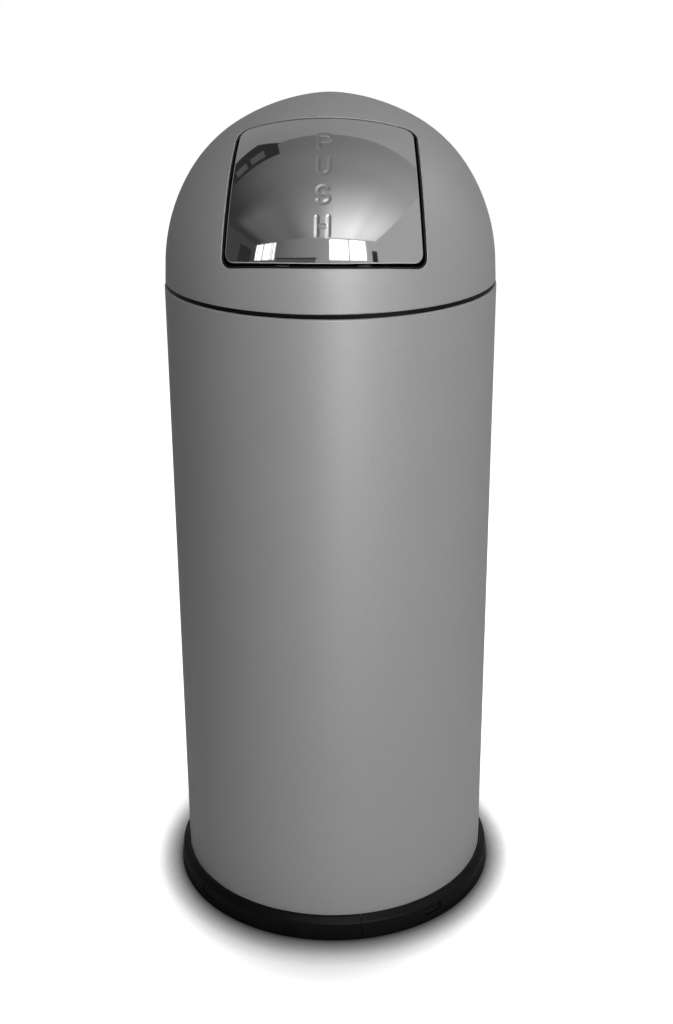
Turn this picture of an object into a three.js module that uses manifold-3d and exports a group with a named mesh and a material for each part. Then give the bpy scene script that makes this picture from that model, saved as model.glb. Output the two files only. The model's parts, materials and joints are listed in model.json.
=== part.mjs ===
import * as THREE from 'three';
import { mergeVertices } from 'three/addons/utils/BufferGeometryUtils.js';
import Module from 'manifold-3d';

// A free-standing waste bin: a rolled steel body on a black base ring, a lift-off steel dome
// with a push flap, and a galvanised liner with a bail inside.
// Millimetres, +Z up. The origin lies on the floor under the middle of the body; the flap faces -Y.
// An azimuth is in degrees, counted from the front towards +X.

const wasm = await Module();
wasm.setup();

// ---------------------------------------------------------------- driving dimensions

const FIT = 0.3;                  // clearance between pieces that seat on each other
const SHELL_FACETS = 48;          // facets around the body, dome, collar and base ring
const LINER_FACETS = 40;          // facets around the liner

// Body
const BODY_DIAMETER = 358;
const BODY_TOP = 720.6;           // height of the body's top edge
const BODY_SHEET = 1;
const MOUTH_INSET = 4;            // how far the turned-in top edge reaches in from the outside
const SEAM_WIDTH = 9;             // lap of the rear seam, inside the body
const SEAM_LAP = 1;

// Collar between body and dome
const GROOVE = 4.7;               // height of the dark joint
const GROOVE_RECESS = 1.8;        // the joint lies this far in from the body's outside
const COLLAR_WALL = 2.3;
const COLLAR_DOWN = 11;           // depth of the collar's spigot in the body
const COLLAR_UP = 11;             // height of the collar's spigot in the dome
const BARB_COUNT = 6;
const BARB_SPAN = 5;              // degrees
const BARB_REACH = 1.6;

// Dome: a short drafted skirt, then arcs that meet without a corner, then the crown
const DOME_STEP = 1;              // the dome's lower edge lies this far in from the body's outside
const DOME_SHEET = 1;
const DOME_SKIRT = 20.2;
const DOME_DRAFT = 2.8;           // degrees
const LOWER_ARC = 192;
const LOWER_ARC_END = 32.4;       // elevation of the outward normal, in degrees
const UPPER_ARC = 155.5;
const UPPER_ARC_END = 61.2;
const CROWN_START = 82.6;
const CROWN_RADIUS = 112.7;

// Flap opening, seen square on to its face: x across, s up the face, n outwards
const FACE_TILT = 38;             // the face looks up by this many degrees
const OPENING_TOP = 93.5;         // s of the straight top edge
const OPENING_BOTTOM = -71.5;     // s of the middle of the bottom edge
const OPENING_SAG = 13.7;         // the bottom edge's corners lie this much higher
const OPENING_TOP_WIDTH = 180.5;
const OPENING_BOTTOM_WIDTH = 206.5;
const OPENING_CORNER = 13;
const OPENING_LIP = 8;            // depth of the turned-in edge

// Rubber trim in the opening
const TRIM_WALL = 1.6;
const TRIM_DEPTH = 9;
const TRIM_SET_IN = 0.8;

// Flap
const FLAP_SHEET = 1;
const FLAP_SET_IN = 0.5;          // the flap lies this far under the dome's surface
const FLAP_SIDE_GAP = 3.6;
const FLAP_BOTTOM_GAP = 4;
const FLAP_TOP_GAP = 0.9;
const FLAP_EDGE = 5;              // depth of the flap's turned-in edge
const FRAME_SHEET = 1.6;
const FRAME_TOP_WIDTH = 104;
const FRAME_TOP_HEIGHT = 34;
const FRAME_TOP_DROP = 16;        // from the hinge axis down to the frame's top edge
const STRAP_OFFSET = 40;
const STRAP_WIDTH = 15;
const LUG_WIDTH = 13;
const LUG_LENGTH = 12;            // of the lug's root on its strap
const LUG_REACH = 6;              // how far the lug passes under the opening's lower edge
const BUMPER_RADIUS = 4;
const BUMPER_THICKNESS = 2.2;

// Letters pressed into the flap, one below the other
const LETTER_HEIGHT = 20;
const LETTER_WIDTH = 14.6;
const LETTER_STROKE = 3.4;
const LETTER_PITCH = 30.7;
const LETTER_TOP = 68.4;          // s of the first letter's top
const LETTER_DEPTH = 0.45;

// Hinge
const HINGE_DROP = 0.5;           // from the opening's top edge down to the axis
const HINGE_DEPTH = 25;           // from the dome's surface in to the axis, at the middle
const ROD_RADIUS = 2.5;
const EYE_RADIUS = 6;
const BRACKET_OFFSET = 50;
const BRACKET_SHEET = 2;
const BRACKET_FOOT_WIDTH = 15;
const BRACKET_FOOT_START = 5;     // from the opening's top edge to the foot
const BRACKET_FOOT_LENGTH = 24;
const ARM_OFFSET = 26;
const ARM_SHEET = 2;
const BUSH_WALL = 1.3;
const BUSH_FLANGE = 1.2;
const CAP_LENGTH = 4.5;
const CAP_WALL = 1.6;
const SPRING_WIRE = 1.6;
const SPRING_CLEARANCE = 1;       // between the rod and the coil
const SPRING_TURNS = 4.25;
const SPRING_PITCH = 2.2;
const SPRING_LEG = 15;

// Welded studs and their nuts
const STUD_RADIUS = 2;
const STUD_LENGTH = 6;
const NUT_ACROSS = 7;
const NUT_HEIGHT = 3;

// Base ring, in two halves
const RING_SPREAD = 10.5;         // the ring's foot reaches this far out from the body
const SHOULDER_SPREAD = 8.6;
const SHOULDER_HEIGHT = 20.4;
const RING_HEIGHT = 27.4;
const RING_WALL = 2.2;
const RING_LIP = 1.4;             // thickness of the lip against the body
const RING_LIP_HEIGHT = 1.9;
const RING_FLOOR = 2.5;
const RING_LEDGE = 11;            // the floor reaches this far in under the body
const RING_JOINT_AZIMUTH = 12;
const RING_JOINT_GAP = 0.5;
const WINDOW_COUNT = 4;
const WINDOW_AZIMUTH = 40;
const WINDOW_SPAN = 7.2;          // degrees
const WINDOW_SILL = 8.6;
const WINDOW_HEAD = 20.2;
const TAB_GAP = 1;                // around the clip's tab in its window
const TAB_SET_IN = 0.8;
const CLIP_SPAN = 10.5;           // degrees
const SPLICE_SPAN = 8;            // degrees

// Base plate and its rivets
const PLATE_TOP = 15;
const PLATE_SHEET = 1;
const RIVET_COUNT = 4;
const RIVET_AZIMUTH = 85;
const RIVET_HEIGHT = 9;
const RIVET_RADIUS = 2;
const RIVET_HEAD = 3.6;
const RIVET_HEAD_THICKNESS = 1.3;

// Liner
const LINER_TOP = 700;
const LINER_CLEARANCE = 10.4;     // between the collar's inside and the liner's rim
const LINER_TAPER = 9;            // the foot's radius is this much less than the top's
const LINER_SHEET = 1;
const LINER_BEAD = 3;             // radius of the rolled rim
const LINER_FOOT = 8;             // height of the base above the wall's foot
const EAR_WIDTH = 26;
const EAR_SHEET = 1.6;
const EAR_DROP = 44;              // from the bail's axis down to the ear's lower edge
const EAR_TOP = 7;                // from the bail's axis up to the ear's top
const EAR_RIVET_DROP = 28;        // from the bail's axis to the rivets
const EAR_RIVET_SPACING = 14;
const BAIL_WIRE = 2.5;            // radius
const BAIL_HOOK = 4;              // how far the wire's end passes the ear
const GRIP_RADIUS = 5;
const GRIP_SPAN = 42;             // degrees

// ---------------------------------------------------------------- derived values

const bodyRadius = BODY_DIAMETER / 2;
const bodyInner = bodyRadius - BODY_SHEET;
const mouthRadius = bodyRadius - MOUTH_INSET;
const bodyFoot = RING_FLOOR + FIT;
const domeEdge = BODY_TOP + GROOVE;
const hingeS = OPENING_TOP - HINGE_DROP;
const collarInner = mouthRadius - FIT - COLLAR_WALL;
const linerTopRadius = collarInner - LINER_CLEARANCE - 2 * LINER_BEAD + LINER_SHEET;
const linerFootRadius = linerTopRadius - LINER_TAPER;
const bailRadius = linerTopRadius + LINER_BEAD - LINER_SHEET / 2;
const bailHeight = LINER_TOP + GRIP_RADIUS + FIT;
const linerFloor = PLATE_TOP + FIT;

// ---------------------------------------------------------------- shape tools

const radians = THREE.MathUtils.degToRad;
const point = (x, y) => new THREE.Vector2(x, y);
const vector = (x, y, z) => new THREE.Vector3(x, y, z);

// A closed three.js geometry as a manifold solid with its faces pointing out.
function solid(geometry) {
  const bare = geometry.clone();
  bare.deleteAttribute('normal');
  bare.deleteAttribute('uv');
  const merged = mergeVertices(bare, 1e-4);
  const { array } = merged.attributes.position;
  const corners = [0, 1, 2].map(() => vector());
  const triangles = [];
  let volume = 0;
  for (let i = 0; i < merged.index.count; i += 3) {
    const [a, b, c] = [0, 1, 2].map((k) => merged.index.getX(i + k));
    if (a === b || b === c || c === a) continue;
    triangles.push(a, b, c);
    [a, b, c].forEach((v, k) => corners[k].fromArray(array, 3 * v));
    volume += corners[0].dot(corners[1].clone().cross(corners[2]));
  }
  if (volume < 0) triangles.reverse();
  const vertProperties = Float32Array.from(array);
  const triVerts = Uint32Array.from(triangles);
  return new wasm.Manifold(new wasm.Mesh({ numProp: 3, vertProperties, triVerts }));
}

// A manifold solid back as a three.js geometry.
function geometryOf(manifold) {
  const { numProp, vertProperties, triVerts } = manifold.getMesh();
  const geometry = new THREE.BufferGeometry();
  const data = new THREE.InterleavedBuffer(vertProperties, numProp);
  const position = new THREE.BufferAttribute(new Float32Array(3 * data.count), 3);
  for (let i = 0; i < data.count; i++) {
    position.setXYZ(i, ...vertProperties.subarray(numProp * i, numProp * i + 3));
  }
  geometry.setAttribute('position', position);
  geometry.setIndex(Array.from(triVerts));
  geometry.computeVertexNormals();
  return geometry;
}

// A profile of [radius, height] corners turned about Z. It closes on itself or on the axis.
function turned(profile, facets = SHELL_FACETS) {
  const corners = profile.map(([radius, height]) => point(radius, height));
  if (profile[0][0] > 0) corners.push(corners[0]);
  return solid(new THREE.LatheGeometry(corners, facets).rotateX(Math.PI / 2));
}

// A flat outline raised by a height, then moved by a matrix.
function prism(outline, height, matrix = new THREE.Matrix4()) {
  const shape = outline instanceof THREE.Shape ? outline : new THREE.Shape(outline);
  const options = { depth: height, bevelEnabled: false, curveSegments: 6 };
  return solid(new THREE.ExtrudeGeometry(shape, options).applyMatrix4(matrix));
}

// An outline in (y, z), or in the face's (s, n), extruded along X from x0 to x1.
function sidePrism(outline, x0, x1, matrix = new THREE.Matrix4()) {
  const turn = new THREE.Matrix4().makeBasis(vector(0, 1, 0), vector(0, 0, 1), vector(1, 0, 0));
  turn.setPosition(Math.min(x0, x1), 0, 0);
  return prism(outline, Math.abs(x1 - x0), turn.premultiply(matrix));
}

// A round bar of one radius along the local Z, from z0 to z1.
function bar(radius, z0, z1, matrix = new THREE.Matrix4(), sides = 16) {
  const length = z1 - z0;
  const geometry = new THREE.CylinderGeometry(radius, radius, length, sides);
  geometry.rotateX(Math.PI / 2).translate(0, 0, z0 + length / 2);
  return solid(geometry.applyMatrix4(matrix));
}

// A profile of [radius, height] corners turned about the local Z, then moved by a matrix.
function turnedAt(profile, matrix, sides = 16) {
  const corners = profile.map(([radius, height]) => point(radius, height));
  if (profile[0][0] > 0) corners.push(corners[0]);
  const geometry = new THREE.LatheGeometry(corners, sides).rotateX(Math.PI / 2);
  return solid(geometry.applyMatrix4(matrix));
}

// The part of a ring that lies within half a span either side of an azimuth.
function sector(ring, azimuth, span, reach = 2 * bodyRadius) {
  const middle = radians(azimuth - 90);
  const half = radians(span / 2);
  const far = reach / Math.cos(half);
  const edge = (angle) => point(far * Math.cos(angle), far * Math.sin(angle));
  const tall = BODY_TOP + domeProfile.at(-1).z;
  const wedge = prism([point(0, 0), edge(middle - half), edge(middle + half)], 2 * tall,
    new THREE.Matrix4().makeTranslation(0, 0, -tall));
  return ring.intersect(wedge);
}

// A matrix that stands a piece's Z along a direction, at a place.
function standing(place, direction) {
  const turn = new THREE.Quaternion().setFromUnitVectors(vector(0, 0, 1), direction);
  return new THREE.Matrix4().compose(place, turn, vector(1, 1, 1));
}

function radial(azimuth, radius, height) {
  const angle = radians(azimuth);
  const out = vector(Math.sin(angle), -Math.cos(angle), 0);
  return standing(out.clone().multiplyScalar(radius).setZ(height), out);
}

// A wire or sleeve of a section swept along a curve given as a function of t from 0 to 1.
function swept(section, route, steps) {
  const curve = new THREE.Curve();
  curve.getPoint = (t, target = vector()) => target.copy(route(t));
  return solid(new THREE.ExtrudeGeometry(section, { steps, extrudePath: curve }));
}

function roundSection(radius, sides) {
  const turn = (k) => (2 * Math.PI * k) / sides;
  const corner = (k) => point(radius * Math.cos(turn(k)), radius * Math.sin(turn(k)));
  return Array.from({ length: sides }, (_, k) => corner(k));
}

// ---------------------------------------------------------------- materials

const paint = (color, roughness, metalness) =>
  new THREE.MeshStandardMaterial({ color, roughness, metalness });
const materials = {
  coatedSteel: () => paint(0x8c8c8c, 0.45, 0.5),
  mirrorSteel: () => paint(0xd4d4d4, 0.06, 1),
  blackPlastic: () => paint(0x121212, 0.45, 0),
  blackRubber: () => paint(0x0c0c0c, 0.8, 0),
  zincSheet: () => paint(0xaeb2b5, 0.4, 0.9),
  zincWire: () => paint(0xb9bcbe, 0.3, 0.95),
  springSteel: () => paint(0x8f9194, 0.3, 1),
  nylon: () => paint(0xe6e3d8, 0.5, 0),
};

function named(name, manifold, material) {
  const mesh = new THREE.Mesh(geometryOf(manifold), material());
  mesh.name = name;
  return mesh;
}

// ---------------------------------------------------------------- dome surface

// The dome's outer profile from its lower edge to the apex. Each point keeps the elevation of
// its outward normal, so that a layer at any depth under the surface can be worked out.
const domeProfile = domeOutline();

function domeOutline() {
  const draft = radians(DOME_DRAFT);
  const rim = bodyRadius - DOME_STEP;
  const points = [{ r: rim, z: 0, tilt: draft }];
  let r = rim - DOME_SKIRT * Math.tan(draft);
  let z = DOME_SKIRT;
  points.push({ r, z, tilt: draft });
  const arc = (radius, from, to, steps) => {
    const centreR = r - radius * Math.cos(from);
    const centreZ = z - radius * Math.sin(from);
    for (let k = 1; k <= steps; k++) {
      const tilt = from + ((to - from) * k) / steps;
      r = centreR + radius * Math.cos(tilt);
      z = centreZ + radius * Math.sin(tilt);
      points.push({ r, z, tilt });
    }
  };
  const [lower, upper, crown] = [LOWER_ARC_END, UPPER_ARC_END, CROWN_START].map(radians);
  arc(LOWER_ARC, draft, lower, 3);
  arc(UPPER_ARC, lower, upper, 3);
  const crownEdge = CROWN_RADIUS * Math.cos(crown);
  const haunch = (r - crownEdge) / (Math.cos(upper) - Math.cos(crown));
  arc(haunch, upper, crown, 2);
  arc(CROWN_RADIUS, crown, Math.PI / 2, 2);
  points.at(-1).r = 0;
  return points;
}

// Everything under the dome's surface, from a depth below it down to a level.
function underDome(depth, level) {
  const profile = domeProfile.map(({ r, z, tilt }) =>
    [r - depth * Math.cos(tilt), z - depth * Math.sin(tilt)]);
  profile[0][1] = level;
  profile.at(-1)[0] = 0;
  return turned([[0, level], ...profile]);
}

const layer = (from, to) => underDome(from, -from).subtract(underDome(to, -to - 1));

// Interpolates the profile's radius and tilt at a height.
function profileAt(height) {
  const next = domeProfile.findIndex(({ z }) => z > height);
  if (next < 1) return next === 0 ? domeProfile[0] : domeProfile.at(-1);
  const [low, high] = [domeProfile[next - 1], domeProfile[next]];
  const share = (height - low.z) / (high.z - low.z);
  return {
    r: THREE.MathUtils.lerp(low.r, high.r, share),
    tilt: THREE.MathUtils.lerp(low.tilt, high.tilt, share),
  };
}

// The face's (x, s, n) axes in the dome's frame, whose origin is the middle of its lower edge.
const faceToDome = new THREE.Matrix4().makeRotationX(radians(90 - FACE_TILT));
const onFace = (x, s, n) => vector(x, s, n).applyMatrix4(faceToDome);

// How much nearer the axis a flat facet lies than its corners, at a place.
function facetShare({ x, y }) {
  const facet = (2 * Math.PI) / SHELL_FACETS;
  const angle = Math.atan2(x, -y) + 2 * Math.PI;
  return Math.cos(facet / 2) / Math.cos((angle % facet) - facet / 2);
}

// The place and outward normal of the dome's surface behind a point (x, s) of the face.
function surfaceBehind(x, s) {
  let [inside, outside] = [0, 2 * bodyRadius];
  for (let k = 0; k < 40; k++) {
    const n = (inside + outside) / 2;
    const place = onFace(x, s, n);
    const { r } = profileAt(place.z);
    const held = place.z < domeProfile.at(-1).z && Math.hypot(place.x, place.y) < r * facetShare(place);
    if (held) inside = n;
    else outside = n;
  }
  const place = onFace(x, s, inside);
  const { tilt } = profileAt(place.z);
  const out = vector(place.x, place.y, 0).normalize().multiplyScalar(Math.cos(tilt));
  return { n: inside, place, normal: out.setZ(Math.sin(tilt)) };
}

const hingeN = surfaceBehind(0, hingeS).n - HINGE_DEPTH;
const hingePlace = onFace(0, hingeS, hingeN);
const hingeLine = new THREE.Matrix4().makeBasis(vector(0, 1, 0), vector(0, 0, 1), vector(1, 0, 0))
  .setPosition(hingePlace);

// ---------------------------------------------------------------- opening and flap outlines

// The corners of an outline, with the four outer ones rounded by short arcs.
function rounded(corners, radius, steps = 4) {
  const count = corners.length;
  return corners.flatMap(({ at, round }, k) => {
    if (!round) return [at];
    const before = corners[(k + count - 1) % count].at.clone().sub(at).normalize();
    const after = corners[(k + 1) % count].at.clone().sub(at).normalize();
    const half = Math.acos(before.dot(after)) / 2;
    const centre = before.clone().add(after).normalize();
    centre.multiplyScalar(radius / Math.sin(half)).add(at);
    const start = before.multiplyScalar(radius / Math.tan(half)).add(at).sub(centre);
    const end = after.multiplyScalar(radius / Math.tan(half)).add(at).sub(centre);
    const sweep = start.angle() - end.angle();
    const turn = -Math.atan2(Math.sin(sweep), Math.cos(sweep));
    const spot = (i) => start.clone().rotateAround(point(0, 0), (turn * i) / steps).add(centre);
    return Array.from({ length: steps + 1 }, (_, i) => spot(i));
  });
}

// The opening's outline drawn in by a distance at the sides, top and bottom.
function faceOutline(side, top, bottom) {
  const topS = OPENING_TOP - top;
  const bottomS = OPENING_BOTTOM + bottom;
  const cornerS = bottomS + OPENING_SAG;
  const slope = (OPENING_BOTTOM_WIDTH - OPENING_TOP_WIDTH) / 2 / (OPENING_TOP - OPENING_BOTTOM);
  const halfWidth = (s) => OPENING_TOP_WIDTH / 2 - side + slope * (OPENING_TOP - s);
  const corners = [
    { at: point(-halfWidth(topS), topS), round: true },
    { at: point(-halfWidth(cornerS), cornerS), round: true },
  ];
  const spans = 6;
  for (let k = 1; k < spans; k++) {
    const share = (2 * k) / spans - 1;
    const s = bottomS + OPENING_SAG * share ** 2;
    corners.push({ at: point(halfWidth(cornerS) * share, s), round: false });
  }
  corners.push({ at: point(halfWidth(cornerS), cornerS), round: true });
  corners.push({ at: point(halfWidth(topS), topS), round: true });
  return rounded(corners, OPENING_CORNER - Math.max(0, side) / 2);
}

const facePrism = (outline) => prism(outline, 2 * bodyRadius, faceToDome);

// A block of the face between two values of x and two of s, through the whole dome.
const faceBlock = (x0, x1, s0, s1) =>
  facePrism([point(x0, s0), point(x1, s0), point(x1, s1), point(x0, s1)]);

// Everything that lies more than the corner's radius and a drop above the opening's top corners.
const aboveCorners = (drop) =>
  faceBlock(-bodyRadius, bodyRadius, OPENING_TOP - OPENING_CORNER - drop, 2 * bodyRadius);

// A round bar or a nut on a stud that stands on the inside of a sheet, at (x, s) of the face.
function studFrame(x, s, depth) {
  const { place, normal } = surfaceBehind(x, s);
  return standing(place.addScaledVector(normal, -depth), normal.clone().negate());
}

function stud(x, s, depth) {
  return bar(STUD_RADIUS, 0, STUD_LENGTH, studFrame(x, s, depth), 10);
}

const studHole = (x, s) => bar(STUD_RADIUS + FIT, 0, STUD_LENGTH, studFrame(x, s, 0), 10);

function nut(x, s, depth) {
  const hexagon = new THREE.Shape(roundSection(NUT_ACROSS / Math.sqrt(3), 6));
  hexagon.holes.push(new THREE.Path(roundSection(STUD_RADIUS + FIT, 10)));
  return prism(hexagon, NUT_HEIGHT, studFrame(x, s, depth));
}

// Where the flap's straps end, above the flap's turned-in lower edge.
const strapEnd = OPENING_BOTTOM + OPENING_SAG + FLAP_BOTTOM_GAP + 2 * FLAP_SHEET;

const bracketStuds = (side) => [0.3, 0.78].map((share) => [
  side * (BRACKET_OFFSET - BRACKET_FOOT_WIDTH / 2),
  OPENING_TOP + BRACKET_FOOT_START + share * BRACKET_FOOT_LENGTH,
]);
const frameStuds = [-1, 1].flatMap((side) => [
  [side * STRAP_OFFSET, hingeS - FRAME_TOP_DROP - FRAME_TOP_HEIGHT / 2],
  [side * STRAP_OFFSET, strapEnd + LUG_LENGTH + 1.4 * NUT_ACROSS],
]);

// ---------------------------------------------------------------- body, collar and base

const rivetAzimuths = Array.from({ length: RIVET_COUNT }, (_, k) =>
  RIVET_AZIMUTH + (360 / RIVET_COUNT) * k);
const windowAzimuths = Array.from({ length: WINDOW_COUNT }, (_, k) =>
  WINDOW_AZIMUTH + (360 / WINDOW_COUNT) * k);
const rivetHole = (azimuth) =>
  bar(RIVET_RADIUS + FIT, -4 * BODY_SHEET - PLATE_SHEET, BODY_SHEET,
    radial(azimuth, bodyRadius, RIVET_HEIGHT), 8);

function bodyShell() {
  const edge = BODY_TOP - BODY_SHEET;
  const bend = BODY_SHEET / 2;
  let shell = turned([
    [bodyRadius, bodyFoot], [bodyRadius, BODY_TOP - bend], [bodyRadius - bend, BODY_TOP],
    [mouthRadius, BODY_TOP], [mouthRadius, edge], [bodyInner, edge], [bodyInner, bodyFoot],
  ]);
  const lap = turned([
    [bodyRadius - BODY_SHEET / 2, PLATE_TOP + FIT], [bodyRadius - BODY_SHEET / 2, edge],
    [bodyInner - SEAM_LAP, edge], [bodyInner - SEAM_LAP, PLATE_TOP + FIT],
  ]);
  const lapSpan = THREE.MathUtils.radToDeg(SEAM_WIDTH / bodyInner);
  shell = shell.add(sector(lap, 180, lapSpan));
  rivetAzimuths.forEach((azimuth) => { shell = shell.subtract(rivetHole(azimuth)); });
  return named('body_shell', shell, materials.coatedSteel);
}

function basePlate() {
  const rim = bodyInner - FIT;
  let plate = turned([
    [0, PLATE_TOP - PLATE_SHEET], [rim - PLATE_SHEET, PLATE_TOP - PLATE_SHEET],
    [rim - PLATE_SHEET, bodyFoot], [rim, bodyFoot], [rim, PLATE_TOP - PLATE_SHEET],
    [rim - PLATE_SHEET, PLATE_TOP], [0, PLATE_TOP],
  ]);
  rivetAzimuths.forEach((azimuth) => { plate = plate.subtract(rivetHole(azimuth)); });
  return named('base_plate', plate, materials.zincSheet);
}

function baseRivet(azimuth, index) {
  const grip = BODY_SHEET + FIT + PLATE_SHEET;
  const profile = [
    [0, RIVET_HEAD_THICKNESS + FIT], [RIVET_HEAD / 2, RIVET_HEAD_THICKNESS + FIT],
    [RIVET_HEAD, FIT], [RIVET_RADIUS, FIT], [RIVET_RADIUS, -grip - FIT - 0.4],
    [RIVET_HEAD * 0.8, -grip - FIT - 0.4], [RIVET_RADIUS, -grip - 2 * RIVET_RADIUS],
    [0, -grip - 2 * RIVET_RADIUS],
  ];
  const rivet = turnedAt(profile, radial(azimuth, bodyRadius, RIVET_HEIGHT), 8);
  return named(`base_rivet_${index + 1}`, rivet, materials.zincWire);
}

// Radius of the base ring's outer face at a height between the foot and the shoulder.
const ringOuter = (z) =>
  bodyRadius + THREE.MathUtils.lerp(RING_SPREAD, SHOULDER_SPREAD, z / SHOULDER_HEIGHT);

function ringSection() {
  const inner = bodyRadius + FIT;
  const lipFoot = RING_HEIGHT - RING_LIP_HEIGHT;
  const bevel = RING_WALL / 2;
  return [
    [bodyRadius - RING_LEDGE, 0], [ringOuter(0) - bevel / 2, 0], [ringOuter(bevel), bevel],
    [ringOuter(SHOULDER_HEIGHT), SHOULDER_HEIGHT - bevel / 2],
    [ringOuter(SHOULDER_HEIGHT) - bevel, SHOULDER_HEIGHT + bevel],
    [inner + RING_LIP + RING_LIP / 3, lipFoot], [inner + RING_LIP, RING_HEIGHT],
    [inner, RING_HEIGHT], [inner, lipFoot - RING_WALL / 2],
    [ringOuter(SHOULDER_HEIGHT) - RING_WALL, SHOULDER_HEIGHT - RING_WALL / 3],
    [ringOuter(RING_FLOOR) - RING_WALL, RING_FLOOR], [bodyRadius - RING_LEDGE, RING_FLOOR],
  ];
}

function baseRingHalf(name, side) {
  const middle = RING_JOINT_AZIMUTH + side * 90;
  const gap = THREE.MathUtils.radToDeg(RING_JOINT_GAP / ringOuter(0));
  const quarters = [-1, 1].map((half) =>
    sector(turned(ringSection()), middle + half * (45 - gap / 4), 90 - gap / 2 + 0.01));
  let ring = quarters[0].add(quarters[1]);
  const reach = ringOuter(0) + RING_WALL;
  const cutter = turned([
    [ringOuter(SHOULDER_HEIGHT) - 2 * RING_WALL, WINDOW_SILL], [reach, WINDOW_SILL],
    [reach, WINDOW_HEAD], [ringOuter(SHOULDER_HEIGHT) - 2 * RING_WALL, WINDOW_HEAD],
  ]);
  windowAzimuths.forEach((azimuth) => {
    ring = ring.subtract(sector(cutter, azimuth, WINDOW_SPAN));
  });
  return named(name, ring, materials.blackPlastic);
}

// A locking clip between the ring and the body. Its tab fills the ring's window.
function ringClip(azimuth, index) {
  const inner = bodyRadius + FIT;
  const back = ringOuter(SHOULDER_HEIGHT) - RING_WALL - 2 * FIT;
  const slope = (RING_HEIGHT - RING_LIP_HEIGHT - RING_WALL / 2 - SHOULDER_HEIGHT + RING_WALL / 3) /
    (ringOuter(SHOULDER_HEIGHT) - RING_WALL - inner);
  const topBack = SHOULDER_HEIGHT - RING_WALL / 3 - FIT;
  const topFront = topBack + slope * (back - inner - RIVET_HEAD_THICKNESS - FIT);
  const block = [
    [inner, bodyFoot], [back, bodyFoot], [back, topBack],
    [inner + RIVET_HEAD_THICKNESS + FIT, topFront], [inner, topBack],
  ];
  const tab = [
    [back - FIT, WINDOW_SILL + TAB_GAP],
    [ringOuter(WINDOW_SILL + TAB_GAP) - TAB_SET_IN, WINDOW_SILL + TAB_GAP],
    [ringOuter(WINDOW_HEAD - TAB_GAP) - TAB_SET_IN, WINDOW_HEAD - TAB_GAP],
    [back - FIT, WINDOW_HEAD - TAB_GAP],
  ];
  const gapSpan = THREE.MathUtils.radToDeg(TAB_GAP / ringOuter(0));
  const clip = sector(turned(block), azimuth, CLIP_SPAN)
    .add(sector(turned(tab), azimuth, WINDOW_SPAN - 2 * gapSpan));
  return named(`ring_clip_${index + 1}`, clip, materials.blackPlastic);
}

// A key behind each joint of the base ring, which ties the two halves together.
function ringSplice(name, azimuth) {
  const back = ringOuter(SHOULDER_HEIGHT) - RING_WALL - FIT;
  const section = [
    [bodyRadius + RIVET_HEAD_THICKNESS, bodyFoot], [back, bodyFoot],
    [back, SHOULDER_HEIGHT - RING_WALL],
    [bodyRadius + RIVET_HEAD_THICKNESS, SHOULDER_HEIGHT - RING_WALL],
  ];
  return named(name, sector(turned(section), azimuth, SPLICE_SPAN), materials.blackPlastic);
}

function rimCollar() {
  const spigot = mouthRadius - FIT;
  const fin = bodyRadius - GROOVE_RECESS;
  const [low, high] = [BODY_TOP + FIT, domeEdge - FIT];
  const chamfer = COLLAR_WALL / 3;
  let collar = turned([
    [collarInner, BODY_TOP - COLLAR_DOWN], [spigot - chamfer, BODY_TOP - COLLAR_DOWN],
    [spigot, BODY_TOP - COLLAR_DOWN + chamfer], [spigot, low], [fin, low], [fin, high],
    [spigot, high], [spigot, domeEdge + COLLAR_UP - chamfer],
    [spigot - chamfer, domeEdge + COLLAR_UP], [collarInner, domeEdge + COLLAR_UP],
  ]);
  const under = BODY_TOP - BODY_SHEET - FIT;
  const barb = turned([
    [spigot - chamfer, under - 2 * BARB_REACH], [spigot, under - 2 * BARB_REACH],
    [spigot + BARB_REACH, under], [spigot - chamfer, under],
  ]);
  for (let k = 0; k < BARB_COUNT; k++) {
    collar = collar.add(sector(barb, (360 / BARB_COUNT) * (k + 0.5), BARB_SPAN));
  }
  return named('rim_collar', collar, materials.blackPlastic);
}

// ---------------------------------------------------------------- dome

function domeShell() {
  const outline = faceOutline(0, 0, 0);
  const rimmed = faceOutline(-DOME_SHEET, -DOME_SHEET, -DOME_SHEET);
  const seat = turned([
    [mouthRadius, 0], [domeProfile[0].r - DOME_SHEET / 2, 0],
    [domeProfile[0].r - DOME_SHEET / 2, DOME_SHEET], [mouthRadius, DOME_SHEET],
  ]);
  let shell = underDome(0, 0).subtract(underDome(DOME_SHEET, -DOME_SHEET)).add(seat);
  shell = shell.add(layer(0, OPENING_LIP).intersect(facePrism(rimmed)));
  shell = shell.subtract(facePrism(outline));
  [-1, 1].flatMap(bracketStuds).forEach(([x, s]) => {
    shell = shell.add(stud(x, s, DOME_SHEET / 2));
  });
  return named('dome_shell', shell, materials.coatedSteel);
}

// A rubber edging along the opening's two sides and bottom.
function openingTrim() {
  const outer = facePrism(faceOutline(FIT, FIT, FIT));
  const wall = FIT + TRIM_WALL;
  const inner = facePrism(faceOutline(wall, wall, wall));
  const trim = layer(TRIM_SET_IN, TRIM_SET_IN + TRIM_DEPTH).intersect(outer);
  return named('opening_trim', trim.subtract(inner).subtract(aboveCorners(0)),
    materials.blackRubber);
}

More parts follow.
